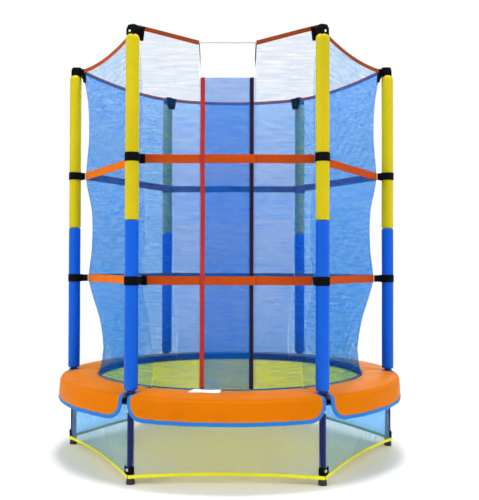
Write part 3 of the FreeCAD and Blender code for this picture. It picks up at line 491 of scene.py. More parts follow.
def newPiece(name, shape, look, *nodes, body="frame", slot=None):
    # A mesh object at the origin from points, four-cornered faces and flat places, with its
    # finish, the body that carries it and the nodes it stands for. It is not given its slot.
    points, faces, flat = shape
    mesh = bpy.data.meshes.new(name)
    mesh.from_pydata(points.tolist(), [], faces.tolist())
    layer = mesh.uv_layers.new(name="cloth")
    layer.data.foreach_set("uv", flat.reshape(-1).astype(np.float32))
    mesh.polygons.foreach_set("use_smooth", np.ones(len(faces), bool))
    mesh.update()
    mesh.materials.append(finish[look])
    piece = placed(name, mesh)
    if body:
        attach(piece, body)
    if slot or look in cadSlots:
        slot or look
    if nodes:
        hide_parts(*nodes)
    return piece


# height, how far the corner is inside the pole circle, how far a side bows out
netLevels = np.array([
    (0.3243, 0.1200, 0.0750), (0.4032, 0.1298, 0.0698), (0.5335, 0.1117, 0.0450),
    (0.6519, 0.0758, 0.0120), (0.7190, 0.0610, -0.0020), (0.8516, 0.0736, -0.0050),
    (1.0019, 0.0730, -0.0050), (1.1610, 0.0470, -0.0020), (1.3308, 0.0578, -0.0050),
    (1.4823, 0.0526, -0.0030), (1.6200, 0.02865, -0.0020)])
netFoot, netTop = netLevels[0, 0], netLevels[-1, 0]


def netAt(height):
    # Inset and bow at a height: cubic curves through the levels, level at both straps.
    at, values = netLevels[:, 0], netLevels[:, 1:]
    ends = np.clip(np.arange(len(at))[:, None] + [-1, 1], 0, len(at) - 1)
    slopes = (values[ends[:, 1]] - values[ends[:, 0]]) / (at[ends[:, 1]] - at[ends[:, 0]])[:, None]
    slopes[[4, 7]] = 0
    i = np.clip(np.searchsorted(at, height) - 1, 0, len(at) - 2)
    span = at[i + 1] - at[i]
    t = (np.clip(height, at[0], at[-1]) - at[i]) / span
    t, span = t[..., None], span[..., None]
    inset, bow = np.moveaxis((2 * t ** 3 - 3 * t ** 2 + 1) * values[i]
                             + (t ** 3 - 2 * t ** 2 + t) * span * slopes[i]
                             + (3 * t ** 2 - 2 * t ** 3) * values[i + 1]
                             + (t ** 3 - t ** 2) * span * slopes[i + 1], -1, 0)
    return inset, bow


def sideAxes(side):
    # A side's outward direction and the direction along it.
    middle = (2 * side + 1) * halfTurn
    return (np.array([math.cos(middle), math.sin(middle), 0.0]),
            np.array([-math.sin(middle), math.cos(middle), 0.0]))


def halfSide(height):
    return (poleCircle - netAt(height)[0]) * math.sin(halfTurn)


def onNet(side, across, height, offset=0.0):
    # A point of the net: outward by the corner's distance times cos 30 plus the bow, which falls
    # with the square of the place along the side, plus an offset.
    across, height, offset = np.broadcast_arrays(across, height, offset)
    inset, bow = netAt(height)
    corner = poleCircle - inset
    out = (corner * math.cos(halfTurn) + offset
           + bow * (1 - (across / (corner * math.sin(halfTurn))) ** 2))
    outward, along = sideAxes(side)
    point = out[..., None] * outward + across[..., None] * along
    point[..., 2] = height
    return point


topEdge = {"sag": 0.020, "doorHalf": 0.104, "doorDrop": 0.055, "frontLift": 0.016, "front": 0.562}
topReach = halfSide(netTop)


def topHeight(side, across):
    # The top edge: a parabola that sags, or straight down to the banner beside the doorway.
    ahead = np.clip(-onNet(side, across, netTop)[..., 1] / topEdge["front"], 0, 1)
    corner = netTop + topEdge["frontLift"] * ahead ** 1.5      # the front caps hold it higher
    if side == frontSide:
        slope = topEdge["doorDrop"] / (topReach - topEdge["doorHalf"])
        return corner - slope * (topReach - np.abs(across))
    return corner - topEdge["sag"] * (1 - (across / topReach) ** 2)


netCloth = {"thick": 0.0010, "rows": 110, "columns": 44, "fold": 0.0026, "crinkle": 0.0008,
            "sideGap": 0.0012, "doorEdge": 0.1045, "hemWidth": 0.0058, "hemThick": 0.0007}


def sideSpans(side, height, under=(0.0, 0.0)):
    # Where the cloths of a side start and end: one from corner to corner, or two beside the
    # doorway, where straps may reach under the flap.
    reach = halfSide(height) - netCloth["sideGap"]
    if side != frontSide:
        return [(-reach, reach)]
    edge = netCloth["doorEdge"] + 0 * reach
    return [(-reach, under[0] - edge), (edge - under[1], reach)]


def slack(across, height, top, seed):
    # How far the net falls inside its smooth form: soft upright folds and fine level crinkles
    # that die out at the straps, the foot, the top and the corners.
    draw = np.random.default_rng(seed)
    calm = np.ones(np.shape(height))
    for level, reach in ((upperStrap, 0.05), (lowerStrap, 0.05), (netFoot, 0.05), (top, 0.06)):
        calm = calm * (1 - np.exp(-((height - level) / reach) ** 2))
    wave = np.zeros(np.shape(height))
    for count in (9.0, 15.0, 23.0, 34.0):
        lean, start = draw.uniform(-6, 6), draw.uniform(0, math.tau)
        wave = wave + np.sin(count * across + lean * height + start) / count ** 0.5
    for count in (55.0, 90.0, 150.0):
        lean, start = draw.uniform(-9, 9), draw.uniform(0, math.tau)
        wave = wave + 0.25 * np.sin(count * height + lean * across + start)
    fine = np.sin(420 * height + 11 * np.sin(9 * across + draw.uniform(0, math.tau)))
    return calm * (netCloth["fold"] * (wave - 1.2) + netCloth["crinkle"] * fine)


def netSheet(side, part, seed):
    # A net panel: rows climb from the foot to the top edge, columns run between its ends.
    t, s = steps(netCloth["rows"], netCloth["columns"])
    low, high = sideSpans(side, netTop)[part]
    top = topHeight(side, low + (high - low) * s)
    height = netFoot + t * (top - netFoot)
    low, high = sideSpans(side, height)[part]
    across = low + (high - low) * s
    corner = np.clip((halfSide(height) - np.abs(across)) / 0.03, 0, 1)
    offset = -0.00075 + corner * slack(across, height, top, seed)
    return clothSheet(onNet(side, across, height, offset), netCloth["thick"], across, height)


def tapeOn(side, line, width, thick):
    # A flat tape along a line on a side's net.
    return swept(line, sideAxes(side)[0], flatSection(width, thick))


panels = [(side, 0, f"enclosureNet{side + 1}") for side in range(sideCount) if side != frontSide]
panels += [(frontSide, 0, "enclosureNetLeftOfDoor"), (frontSide, 1, "enclosureNetRightOfDoor")]
# the photo's bays differ in tone
# painted shade: each bay takes its own copy of the net, denser and darker where it stands in shade
netLooks = ["far net", "back net", "far net", "side net", "blue_net", "side net"]
for seed, (side, part, name) in enumerate(panels):
    panel = newPiece(name, netSheet(side, part, seed), netLooks[side], "enclosure_net",
                     slot="blue_net")
    flat = (0.250, 1.330) if side == frontSide else (0.680, 1.330)

for side in range(sideCount):
    reach = halfSide(netFoot) - netCloth["sideGap"]
    line = onNet(side, np.linspace(-reach, reach, 60), netFoot + 0.0032, 0.0004)
    newPiece(f"netFootHem{side + 1}",
             tapeOn(side, line, netCloth["hemWidth"], netCloth["hemThick"]), "blue_binding")
print("net panels:", len(panels))


webbing = {"width": 0.032, "thick": 0.0016, "gap": 0.0003, "topWidth": 0.016, "doorWidth": 0.016,
           "seam": 0.012, "narrowSeam": 0.0055, "under": (0.007, 0.0045)}
clear = webbing["gap"] + webbing["thick"] / 2
seamOut = clear + webbing["thick"] / 2


def levelStrap(side, height, start, end, offset):
    # A level length of strap on the net, with a faint waviness along it.
    across = np.linspace(start, end, 60)
    line = onNet(side, across, height, offset)
    line[:, 2] += 0.0006 * np.sin(across * 31 + side) * np.sin(np.linspace(0, math.pi, 60))
    return tapeOn(side, line, webbing["width"], webbing["thick"])


def seamRows(side, line, spread):
    # Two rows of stitches, above and below a line.
    return [stitches(line + [0, 0, lift], sideAxes(side)[0]) for lift in (-spread, spread)]


def edgeStitches(side, height, start, end, offset):
    # The rows of stitches near a strap's edges.
    across = np.linspace(start + 0.002, end - 0.002, 60)
    return seamRows(side, onNet(side, across, height, offset), webbing["seam"])


for strapName, height in (("upper", upperStrap), ("lower", lowerStrap)):
    threads = []
    for side in range(sideCount):
        # painted light: the straps on the side that faces the key lamp take the lighter copy of the
        # webbing
        look = "bright orange webbing" if side == 3 else "orange_webbing"    # as the photo has it
        for part, ends in enumerate(sideSpans(side, height, webbing["under"])):
            newPiece(f"{strapName}Strap{side + 1}{'ab'[part]}",
                     levelStrap(side, height, *ends, clear), look, strapName + "_strap",
                     slot="orange_webbing")
            threads += edgeStitches(side, height, *ends, seamOut)
    newPiece(strapName + "StrapStitches", joined(threads), "orange_webbing")

threads = []
for side in range(sideCount):
    # painted shade: the top webbing takes the darker copy on every side but the one that faces the
    # key lamp
    look = "orange_webbing" if side == 3 else "dull orange webbing"
    for part, ends in enumerate(sideSpans(side, netTop)):
        across = np.linspace(*ends, 60)
        line, seam = (onNet(side, across, topHeight(side, across), out) for out in (clear, seamOut))
        newPiece(f"topWebbing{side + 1}{'ab'[part]}",
                 tapeOn(side, line, webbing["topWidth"], webbing["thick"]), look, "top_webbing",
                 slot="orange_webbing")
        threads += seamRows(side, seam, webbing["narrowSeam"])
newPiece("topWebbingStitches", joined(threads), "orange_webbing")
print("straps sewn on")


door = {"half": 0.104, "outerEdge": 0.099, "innerEdge": 0.095, "low": 0.3311, "high": 1.4575,
        "outerOffset": 0.00325, "innerOffset": -0.00325, "tapeOut": 0.0051, "sideTape": 0.089}


def doorFlap(start, end, offset, seed, pull=(1.0, 1.0)):
    # A flap that follows the net's form a little outside or inside it, with soft folds.
    t, s = steps(netCloth["rows"], 30)
    height = door["low"] + (door["high"] - door["low"]) * t + 0 * s
    across = start + (end - start) * s + 0 * t
    fold = 0.0009 * np.sin(60 * across + 5 * height + seed) * np.sin(math.pi * s) ** 0.5
    return clothSheet(onNet(frontSide, across, height, offset + fold), netCloth["thick"],
                      across * pull[0], height * pull[1])


def upright(across, offset, trim=0.0, count=120):
    # A line up the flaps.
    height = np.linspace(door["low"] + trim, door["high"] - trim, count)
    return onNet(frontSide, across, height, offset)


outerFlap = newPiece("outerDoorFlap",
                     doorFlap(-door["outerEdge"], door["half"], door["outerOffset"], 1.0),
                     "door net", "outer_door_flap", body="outer_flap", slot="blue_net")
innerFlap = newPiece("innerDoorFlap",
                     doorFlap(-door["half"], door["innerEdge"], door["innerOffset"], 3.0,
                              (1.37, 0.71)),
                     "door net", "inner_door_flap", body="inner_flap", slot="blue_net")

tapeWidth, tapeThick = webbing["doorWidth"], webbing["thick"]
for flap, look, middle, out in (
        ("outer", "red_webbing", tapeWidth / 2 - door["outerEdge"], door["tapeOut"]),
        ("inner", "dark red webbing", door["innerEdge"] - tapeWidth / 2, -door["tapeOut"])):
    newPiece(flap + "FlapTape", tapeOn(frontSide, upright(middle, out), tapeWidth, tapeThick),
             look, flap + "_flap_webbing", body=flap + "_flap")
    seams = [stitches(upright(middle + lift, out + tapeThick / 2, 0.002, 160),
                      sideAxes(frontSide)[0])
             for lift in (-webbing["narrowSeam"], webbing["narrowSeam"])]
    newPiece(flap + "TapeStitches", joined(seams), look, body=flap + "_flap")
newPiece("outerFlapSideTape", tapeOn(frontSide, upright(door["sideTape"], 0.0050), 0.012, 0.0005),
         "dark red webbing", body="outer_flap")
for strapName, height in (("Upper", upperStrap), ("Lower", lowerStrap)):
    ends = tapeWidth - door["outerEdge"] + 0.0005, door["half"]
    newPiece(f"outerFlap{strapName}Strap", levelStrap(frontSide, height, *ends, door["tapeOut"]),
             "orange_webbing", body="outer_flap")
    threads = edgeStitches(frontSide, height, *ends, door["tapeOut"] + tapeThick / 2)
    newPiece(f"outerFlap{strapName}Stitches", joined(threads), "orange_webbing", body="outer_flap")

banner = {"low": 1.458, "high": 1.581, "taper": 0.005, "thick": 0.0014, "edgeLow": 1.493,
          "edgeWidths": (0.0026, 0.0042), "cordHalf": 0.1035, "cordRadius": 0.0015}
t, s = steps(26, 40, -1)
height = banner["low"] + (banner["high"] - banner["low"]) * t
across = s * (door["half"] - banner["taper"] * (1 - t))
ripple = 0.0006 * np.sin(70 * across + 3) * (1 - t) * (1 - s ** 2)
grid = onNet(frontSide, across, height, 0.0008 + ripple)
piece = newPiece("entranceBanner", clothSheet(grid, banner["thick"], across, height),
                 "white_cloth", "entrance_banner")
edges = []
for way, width in zip((-1, 1), banner["edgeWidths"]):
    height = np.linspace(banner["edgeLow"], banner["high"] - 0.0005, 40)
    fall = (banner["high"] - height) / (banner["high"] - banner["low"])
    line = onNet(frontSide, way * (door["half"] - banner["taper"] * fall - 0.001), height, 0.0017)
    narrow = np.clip(np.linspace(0, 2.5, 40), 0.15, 1)[:, None, None] * [width, 1]
    edges.append(swept(line, sideAxes(frontSide)[0], flatSection(1, 0.0010)[None] * narrow))
newPiece("bannerEdges", joined(edges), "dark red webbing")
across = np.linspace(-banner["cordHalf"], banner["cordHalf"], 50)
line = onNet(frontSide, across, banner["high"], 0.0008)
newPiece("bannerTopCord", swept(line, (0, 0, 1), roundSection(banner["cordRadius"])), "pale thread")
print("doorway hung")


foam = {"radius": 0.025, "bore": 0.013, "blueLow": 0.331, "split": 0.936, "yellowHigh": 1.600}


def cornerFrame(corner):
    # A pole's place, the direction outwards from the middle, and the direction along the circle.
    angle = 2 * corner * halfTurn
    outward = np.array([math.cos(angle), math.sin(angle), 0.0])
    return poleCircle * outward, outward, np.array([-outward[1], outward[0], 0.0])


def foamSleeve(corner, low, high, topRound):
    # A thick tube: an outline of radius and height turned round the pole, with shallow dents and
    # a waist where each band grips it.
    draw = np.random.default_rng(20 + corner)
    r, b = foam["radius"], foam["bore"]
    outline = smoothLine([(b, low + 0.001), (b + 0.004, low), (r - 0.003, low), (r, low + 0.004),
                          (r, low + 0.02), (r, (low + high) / 2), (r, high - topRound - 0.01),
                          (r, high - topRound), (r - topRound * 0.55, high), (b + 0.003, high),
                          (b, high - 0.001)], 130)
    inner = np.stack([np.full(24, b), np.linspace(high - 0.002, low + 0.002, 24)], 1)
    outline = np.concatenate([outline, inner])
    turn = wholeTurn(48)[:, None]
    radius, height = outline[None, :, 0], outline[None, :, 1]
    dent = np.zeros((48, len(outline)))
    for k in range(1, 5):
        around, lift = draw.integers(1, 4), draw.uniform(4, 18) * k ** 0.5
        dent = dent + np.sin(around * turn + lift * height + draw.uniform(0, math.tau)) / k
    grip = sum(np.exp(-((height - level) / 0.016) ** 4) for level in (upperStrap, lowerStrap))
    outside = np.clip((radius - b) / (r - b), 0, 1)
    radius = radius + outside * (0.00022 * dent - 0.00025 - 0.0006 * grip)
    grid = cornerFrame(corner)[0] + onCircle(radius, turn, height)
    faces, i, j = gridFaces(*grid.shape[:2], True, True)
    flat = np.stack([i / 48 * math.tau * r, outline[j % len(outline), 1]], -1)
    return facedOut(grid.reshape(-1, 3), faces, flat)


for corner in range(sideCount):
    for colour, low, high, rounding in (("blue", foam["blueLow"], foam["split"] - 0.0005, 0.003),
                                        ("yellow", foam["split"], foam["yellowHigh"], 0.011)):
        piece = newPiece(f"{colour}Foam{corner + 1}", foamSleeve(corner, low, high, rounding),
                         colour + "_foam", f"{colour}_foam_sleeve_{corner + 1}")
print("foam sleeves on")


band = {"height": 0.032, "tailHeight": 0.029, "thick": 0.0018, "pinch": 0.0105,
        "insets": (0.047, 0.061), "boxHalf": 0.011, "seamOut": 0.00205}


def poleBand(corner, height, inset):
    # A loop like a drop seen from above: round the foam, then both sides meet in a tail that
    # reaches in to the strap's corner.
    place, outward, sideways = cornerFrame(corner)
    ring = foam["radius"] + 0.0003 + band["thick"] / 2
    meet = ring + band["pinch"]
    opening = math.acos(ring / meet)
    tip = inset - 0.0034
    turn = np.linspace(opening, math.tau - opening, 60)
    loop = np.stack([-ring * np.cos(turn), ring * np.sin(turn)], 1)
    half = band["thick"] / 2 + 0.0001
    tail = np.array([(-tip, half), (-(tip + meet) / 2, half), (-meet - 0.002, half)])
    plan = smoothLine(np.concatenate([tail, loop, tail[::-1] * [1, -1]]), 150, 2)
    line = place + plan[:, :1] * outward + plan[:, 1:] * sideways
    line[:, 2] = height
    normal = np.cross(unit(np.gradient(line, axis=0)), (0, 0, 1.0))
    out = np.clip((-plan[:, 0] - ring) / (meet - ring), 0, 1)
    wide = band["height"] + (band["tailHeight"] - band["height"]) * out
    size = np.stack([wide, np.full(150, band["thick"])], -1)[:, None]
    return swept(line, normal, flatSection(1.0, 1.0)[None] * size)


def crossStitches(corner, height, inset):
    # A small sewn box with a cross on the tail.
    place, outward, sideways = cornerFrame(corner)
    far, near, high = inset - 0.006, foam["radius"] + 0.013, band["boxHalf"]
    a, b, c, d = (-far, high), (-near, high), (-near, -high), (-far, -high)
    rows = []
    for face in (-1, 1):
        for start, end in ((a, b), (b, c), (c, d), (d, a), (a, c), (b, d)):
            run = np.linspace(start, end, 8)
            line = place + run[:, :1] * outward + face * band["seamOut"] * sideways
            line[:, 2] = height + run[:, 1]
            rows.append(stitches(line, face * sideways, 0.0028, 0.001, 0.0004))
    return rows


for level, height, inset in zip(("Upper", "Lower"), (upperStrap, lowerStrap), band["insets"]):
    threads = []
    for corner in range(sideCount):
        newPiece(f"poleBand{level}{corner + 1}", poleBand(corner, height, inset), "black_webbing",
                 "pole_bands")
        threads += crossStitches(corner, height, inset)
    newPiece(f"poleBand{level}Stitches", joined(threads), "dark thread")
    reach = halfSide(height)
    line = onNet(frontSide, np.linspace(-reach - 0.004, -reach + 0.018, 16), height, clear)
    newPiece(f"strapSleeve{level}", tapeOn(frontSide, line, 0.0345, 0.0040), "black_webbing")
print("bands fastened")


tab = {"width": 0.034, "thick": 0.0020, "top": 1.6283, "inside": 0.0263, "outside": 0.0153,
       "innerDrop": 0.036, "outerDrop": 0.030, "taper": 0.006, "hoodLow": 1.6012,
       "hoodTop": 1.6365, "hoodThick": 0.0014, "eyeDrop": 0.018, "eyeOut": 0.0022,
       "eyeRadius": 0.0032, "eyeWire": 0.0012,
       # how far out, how wide and how deep a wing is: outside the net, inside it, and inside it
       # at the two rear corners
       "outerWing": (0.0029, 0.026, 0.046), "innerWing": (-0.0030, 0.020, 0.036),
       "rearWing": (-0.0030, 0.032, 0.048)}


def cornerTab(corner):
    # A strap folded over the pole's cap, seen from the side an upside-down U.
    place, outward, sideways = cornerFrame(corner)
    top, r = tab["top"] - tab["thick"] / 2, 0.004
    plan = smoothLine([(-tab["inside"], top - tab["innerDrop"]), (-tab["inside"], top - r),
                       (-tab["inside"] + r, top), (0, top + 0.0002), (tab["outside"] - r, top),
                       (tab["outside"], top - r), (tab["outside"], top - tab["outerDrop"])], 60)
    line = place + plan[:, :1] * outward
    line[:, 2] = plan[:, 1]
    normal = unit(np.cross(sideways, unit(np.gradient(line, axis=0))))
    return swept(line, normal, flatSection(tab["width"], tab["thick"], 20, 0.25))


def cornerHood(corner):
    # A cloth cap sewn to the fold: a rounded rectangle in plan, drawn in over its top.
    place, outward, sideways = cornerFrame(corner)
    length, width = (tab["inside"] + tab["outside"]) / 2 + 0.0008, tab["width"] / 2 + 0.0006
    rise = tab["hoodTop"] - tab["hoodLow"]
    outside = smoothLine([(1.0, 0), (1.0, rise * 0.5), (0.99, rise - 0.004), (0.86, rise - 0.0005),
                          (0.4, rise + 0.0004), (0.01, rise + 0.0006)], 34)
    inside = outside[::-1].copy()
    inside[:, 0] *= 1 - tab["hoodThick"] / width
    inside[:, 1] = np.minimum(inside[:, 1], rise - tab["hoodThick"])
    profile = np.concatenate([outside, inside])
    turn = wholeTurn(48)[:, None]
    sag = 0.0007 * np.sin(5 * turn + corner) * (1 - profile[None, :, 1] / rise)
    x, y = (np.sign(way) * np.abs(way) ** 0.5 * (size * profile[None, :, 0] + sag)
            for way, size in ((np.cos(turn), length), (np.sin(turn), width)))
    middle = (tab["outside"] - tab["inside"]) / 2
    grid = place + (x[..., None] + middle) * outward + y[..., None] * sideways
    grid[..., 2] = tab["hoodLow"] + profile[None, :, 1]
    faces, i, j = gridFaces(*grid.shape[:2], True, True)
    flat = np.stack([i * 0.0022, runLength(profile)[j % len(profile)]], -1)
    return facedOut(grid.reshape(-1, 3), faces, flat)


def wingStart(corner, direction):
    # The side that a wing lies on, and where along that side it starts.
    return (corner if direction > 0 else (corner - 1) % sideCount), -direction * topReach


def cornerWing(corner, direction, offset, wide, deep):
    # A patch with a slanting side and a rounded lower corner on the net's top corner.
    side, start = wingStart(corner, direction)
    t, s = steps(16, 16)
    across = start + direction * (0.0008 + s * (wide - tab["taper"] * t))
    edge = topHeight(side, across)
    rounding = np.clip((s - 0.75) / 0.25, 0, 1)
    drop = deep - 0.008 * (1 - np.sqrt(1 - rounding ** 2))
    rise = np.minimum(0.0100, tab["hoodTop"] - 0.001 - edge)
    height = edge + rise - t * (drop + rise)
    return clothSheet(onNet(side, across, height, offset), 0.0014, across, height)


def wingStitches(corner, direction):
    # Stitches round a wing, a little inside its edge.
    side, start = wingStart(corner, direction)
    _, wide, deep = tab["outerWing"]
    low = 0.004 - deep
    plan = smoothLine([(0.004, low), (wide - tab["taper"] - 0.002, low), (wide - 0.003, 0.006)],
                      50)
    across = start + direction * plan[:, 0]
    line = onNet(side, across, topHeight(side, across) + plan[:, 1], 0.0036)
    return stitches(line, sideAxes(side)[0], 0.0028)


def eyelet(centre, outward, radius, wire):
    # An upright ring of flattened wire that faces outward.
    first = unit(np.cross(outward, (0, 0, 1.0)))
    second = np.cross(outward, first)
    turn = wholeTurn(28)[:, None]
    line = centre + radius * (np.cos(turn) * first + np.sin(turn) * second)
    return swept(line, outward, flatSection(2 * wire, 1.3 * wire, 10, 0.7), True)


for corner in range(sideCount):
    inner = tab["rearWing"] if corner in (1, 2) else tab["innerWing"]
    wings = [cornerWing(corner, direction, *wing) for direction in (1, -1)
             for wing in (tab["outerWing"], inner)]
    newPiece(f"cornerTab{corner + 1}", joined([cornerTab(corner), cornerHood(corner), *wings]),
             "black_webbing", "corner_tabs")
    place, outward, _ = cornerFrame(corner)
    front = place + outward * (tab["outside"] + tab["eyeOut"])
    front[2] = tab["top"] - tab["eyeDrop"]
    newPiece(f"cornerEyelet{corner + 1}",
             eyelet(front, outward, tab["eyeRadius"], tab["eyeWire"]), "steel ring")
    newPiece(f"cornerStitches{corner + 1}",
             joined([wingStitches(corner, 1), wingStitches(corner, -1)]), "dark thread")
print("corner tabs folded")


mat = {"radius": 0.590, "low": 0.296, "top": 0.298, "bandWidth": 0.034, "bandThick": 0.0015,
       "rings": 36, "ringPlace": 0.59165, "level": 0.297, "seams": (0.5605, 0.5725, 0.5845)}

# turned from an outline, with a small flat cap at the middle of each face
turn = wholeTurn(144)[:, None]
r = np.concatenate([[0.004], np.linspace(0.014, 0.585, 58), [0.588, 0.5896]])[None, :]
fromMiddle = r / mat["radius"]
dish = -0.0016 * (1 - fromMiddle ** 2) + 0.0004 * np.sin(18 * turn) * fromMiddle ** 6
rounding = np.clip((r - 0.585) / 0.0046, 0, 1) ** 2 * 0.0007
top = onCircle(r, turn, mat["top"] + dish - rounding)
low = onCircle(r, turn, mat["low"] + dish + rounding)
grid = np.concatenate([top, low[:, ::-1]], 1)
columns = grid.shape[1]
faces = gridFaces(*grid.shape[:2], True)[0]
k = np.arange(71)
cap = np.stack([k, k + 1, 142 - k, 143 - k], 1) * columns
faces = np.concatenate([faces, cap, cap[:, ::-1] + columns - 1])
points = grid.reshape(-1, 3)
piece = newPiece("jumpingMat", facedOut(points, faces, points[faces][..., :2]), "yellow_mat_cloth",
                 "jumping_mat", body="mat")

circle = onCircle(1.0, wholeTurn(240), 0.0)
middle = circle * (mat["radius"] - mat["bandWidth"] / 2)
middle[:, 2] = mat["top"] + mat["bandThick"] / 2
newPiece("matEdgeBand",
         swept(middle, (0, 0, 1.0), flatSection(mat["bandWidth"], mat["bandThick"]), True),
         "navy_webbing", "mat_edge_band", body="mat")
threads = []
for radius in mat["seams"]:
    row = np.concatenate([circle, circle[:1]]) * radius
    row[:, 2] = mat["top"] + mat["bandThick"]
    threads.append(stitches(row, (0, 0, 1.0), 0.0050, 0.0018, 0.0005))
newPiece("matBandStitches", joined(threads), "yellow_mat_cloth", body="mat")

wrap = np.linspace(math.pi / 2, -math.pi / 2, 12)
path = smoothLine(np.concatenate([
    [(0.572, 0.0028), (0.582, 0.0029)],
    np.stack([mat["ringPlace"] + 0.0022 * np.cos(wrap), 0.0022 * np.sin(wrap)], 1),
    [(0.582, -0.0018), (0.572, -0.0017)]]), 26, 2)
line = np.stack([path[:, 0], 0 * path[:, 0], mat["level"] + path[:, 1]], 1)
normal = unit(np.cross((0, 1.0, 0), np.gradient(line, axis=0)))
loop = swept(line, normal, flatSection(0.016, 0.0011, 12))
ringAngles = [(n + 0.5) * math.tau / mat["rings"] for n in range(mat["rings"])]
newPiece("matRingLoops", joined([turnedShape(loop, angle) for angle in ringAngles]),
         "navy_webbing", body="mat")
print("mat laid")


spring = {"coil": 0.0045, "wire": 0.0010, "turns": 19, "inner": 0.6135, "outer": 0.6600,
          "hook": 0.60365, "hookRadius": 0.0024, "rail": 0.6685}


def springLine():
    # A helix with a hook at the ring and a straight end in the rail, and each point's outward way.
    level = mat["level"]
    along = np.linspace(0, 1, 12 * spring["turns"] + 1)
    turn = along * spring["turns"] * math.tau
    size = spring["coil"] * np.clip(np.minimum(along, 1 - along) * spring["turns"] * 2, 0.06, 1)
    coil = np.stack([spring["inner"] + along * (spring["outer"] - spring["inner"]),
                     size * np.sin(turn), level + size * np.cos(turn)], 1)
    bend = np.linspace(-0.75 * math.pi, 0.45 * math.pi, 10)[:, None]
    curl = spring["hookRadius"] * np.concatenate([np.sin(bend), 0 * bend, np.cos(bend)], 1)
    hook = np.array([[spring["hook"], 0, level]]) + curl
    end = np.linspace((spring["outer"] + 0.001, 0, level), (spring["rail"], 0, level), 4)
    line = np.concatenate([hook, [(spring["inner"] - 0.002, 0, level + 0.0003)], coil, end])
    out = line - np.stack([line[:, 0], 0 * line[:, 0], np.full(len(line), level)], 1)
    out[:10] = curl
    out[np.linalg.norm(out, axis=1) < 1e-5] = (0, 0, 1)
    return line, unit(out)


oneSpring = swept(*springLine(), roundSection(spring["wire"], 6))
for n, angle in enumerate(ringAngles):
    piece = newPiece(f"spring{n + 1}", turnedShape(oneSpring, angle), "zinc_steel", "springs",
                     body=None)
    away = np.array([math.cos(angle), math.sin(angle), 0])
    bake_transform(piece)
print("springs hooked")


pad = {"inner": 0.562, "crease": 0.706, "outer": 0.717, "hem": 0.721, "under": 0.303,
       "innerTop": 0.324, "crown": 0.3285, "outerTop": 0.317, "low": 0.237, "flap": 0.005,
       "slot": 0.649, "slotHalf": 0.0195, "flapRound": 0.055, "seam": 0.0004, "columns": 112,
       "bindingSteps": 420, "bindingWidth": 0.0150, "bindingThick": 0.0068, "piping": 0.0013}


def padSection():
    # The pad's outside, from its inner foot over the crown to the flap's edge, and the inside
    # point across from each, as radius and height.
    inner, under, crown, crease, outer = (pad[key] for key in ("inner", "under", "crown", "crease",
                                                               "outer"))
    face = smoothLine([(inner, under), (inner - 0.001, under + 0.012),
                       (inner + 0.001, pad["innerTop"]), (inner + 0.02, crown - 0.001),
                       (0.634, crown + 0.0008), (crease - 0.02, pad["outerTop"] + 0.0035),
                       (crease, pad["outerTop"])], 64)
    fall = smoothLine([(crease, pad["outerTop"]), (outer - 0.003, pad["outerTop"] - 0.004),
                       (outer, pad["outerTop"] - 0.014), (outer + 0.002, 0.28),
                       (pad["hem"], pad["low"])], 44)
    base = np.stack([np.maximum(face[:, 0], inner + 0.0015), np.full(len(face), under)], 1)
    base[:, 1] += 0.0002 * np.clip(1 - (face[:, 1] - under) / (crown - under), 0, 1)
    share = np.linspace(0, 1, len(fall))
    hang = np.stack([np.minimum(fall[:, 0], outer + share * 0.004) - pad["flap"],
                     np.minimum(fall[:, 1], under)], 1)
    return np.concatenate([face, fall[1:]]), np.concatenate([base, hang[1:]])


padOutside, padInside = padSection()


def padEdge(radius, height):
    # Half the gap between neighbouring pads at a place: a slit, then the round-ended slot for the
    # pole, then the flap's rounded corner.
    centre = pad["slot"] + pad["slotHalf"]
    arc = pad["slotHalf"] ** 2 - np.clip(centre - radius, 0, pad["slotHalf"]) ** 2
    slot = np.where(radius > pad["slot"],
                    np.maximum(np.sqrt(np.maximum(arc, 0)), pad["seam"]), pad["seam"])
    turnUp = np.clip(pad["low"] + pad["flapRound"] - height, 0, pad["flapRound"])
    corner = pad["flapRound"] - np.sqrt(pad["flapRound"] ** 2 - turnUp ** 2)
    return slot + np.where(radius > pad["crease"], corner * 0.999, 0)


def padGrids(side):
    # Outside and inside grids of one pad, its rows round the section and its columns along it,
    # crowned by the section, drawn in at the seams and gathered by waves along it.
    draw = np.random.default_rng(50 + side)
    r, z = padOutside[:, :1], padOutside[:, 1:]
    edge = halfTurn - np.arcsin(np.clip(padEdge(r, z) / r, 0, 1))
    share = np.sin(np.linspace(-0.5, 0.5, pad["columns"]) * math.pi)[None, :]
    share = 0.45 * share + 0.55 * np.linspace(-1, 1, pad["columns"])[None, :]
    angle = edge * share
    fromEdge = (edge - np.abs(angle)) * r
    onTop = np.clip((z - pad["under"]) / (pad["crown"] - pad["under"]), 0, 1)
    isTop = (r < pad["crease"] + 0.002) * onTop
    seamDip = 0.0075 * np.exp(-(fromEdge / 0.009) ** 1.2) * (r < pad["slot"] + 0.01)
    rim = 0.0018 * np.exp(-(fromEdge / 0.006) ** 2) * (r >= pad["slot"])
    gather = np.zeros(np.shape(angle))
    for count in (13, 21, 34, 55):
        gather = gather + np.sin(count * angle * 3 + draw.uniform(0, math.tau)
                                 + 40 * (r - 0.63) * draw.uniform(-1, 1)) / count ** 0.5
    innerPull = np.exp(-((r - pad["inner"]) / 0.02) ** 2)
    lift = 0.0006 * gather * (0.4 + innerPull + 1.2 * np.exp(-(fromEdge / 0.03)))
    height = z + isTop * (lift - seamDip - rim)
    below = np.clip((pad["outerTop"] - z) / (pad["outerTop"] - pad["low"]), 0, 1)
    swing = ripples(draw, (5, 9, 14), angle)
    move = below * (r > pad["crease"]) * 0.0019 * swing * np.clip(fromEdge / 0.05, 0.2, 1)
    turnBy = (2 * side + 1) * halfTurn
    top = onCircle(r + move, angle + turnBy, height)
    low = onCircle(padInside[:, :1] + move, angle + turnBy, padInside[:, 1:])
    flat = np.stack(np.broadcast_arrays(angle * 0.64, runLength(padOutside)[:, None]), -1)
    return top, low, flat


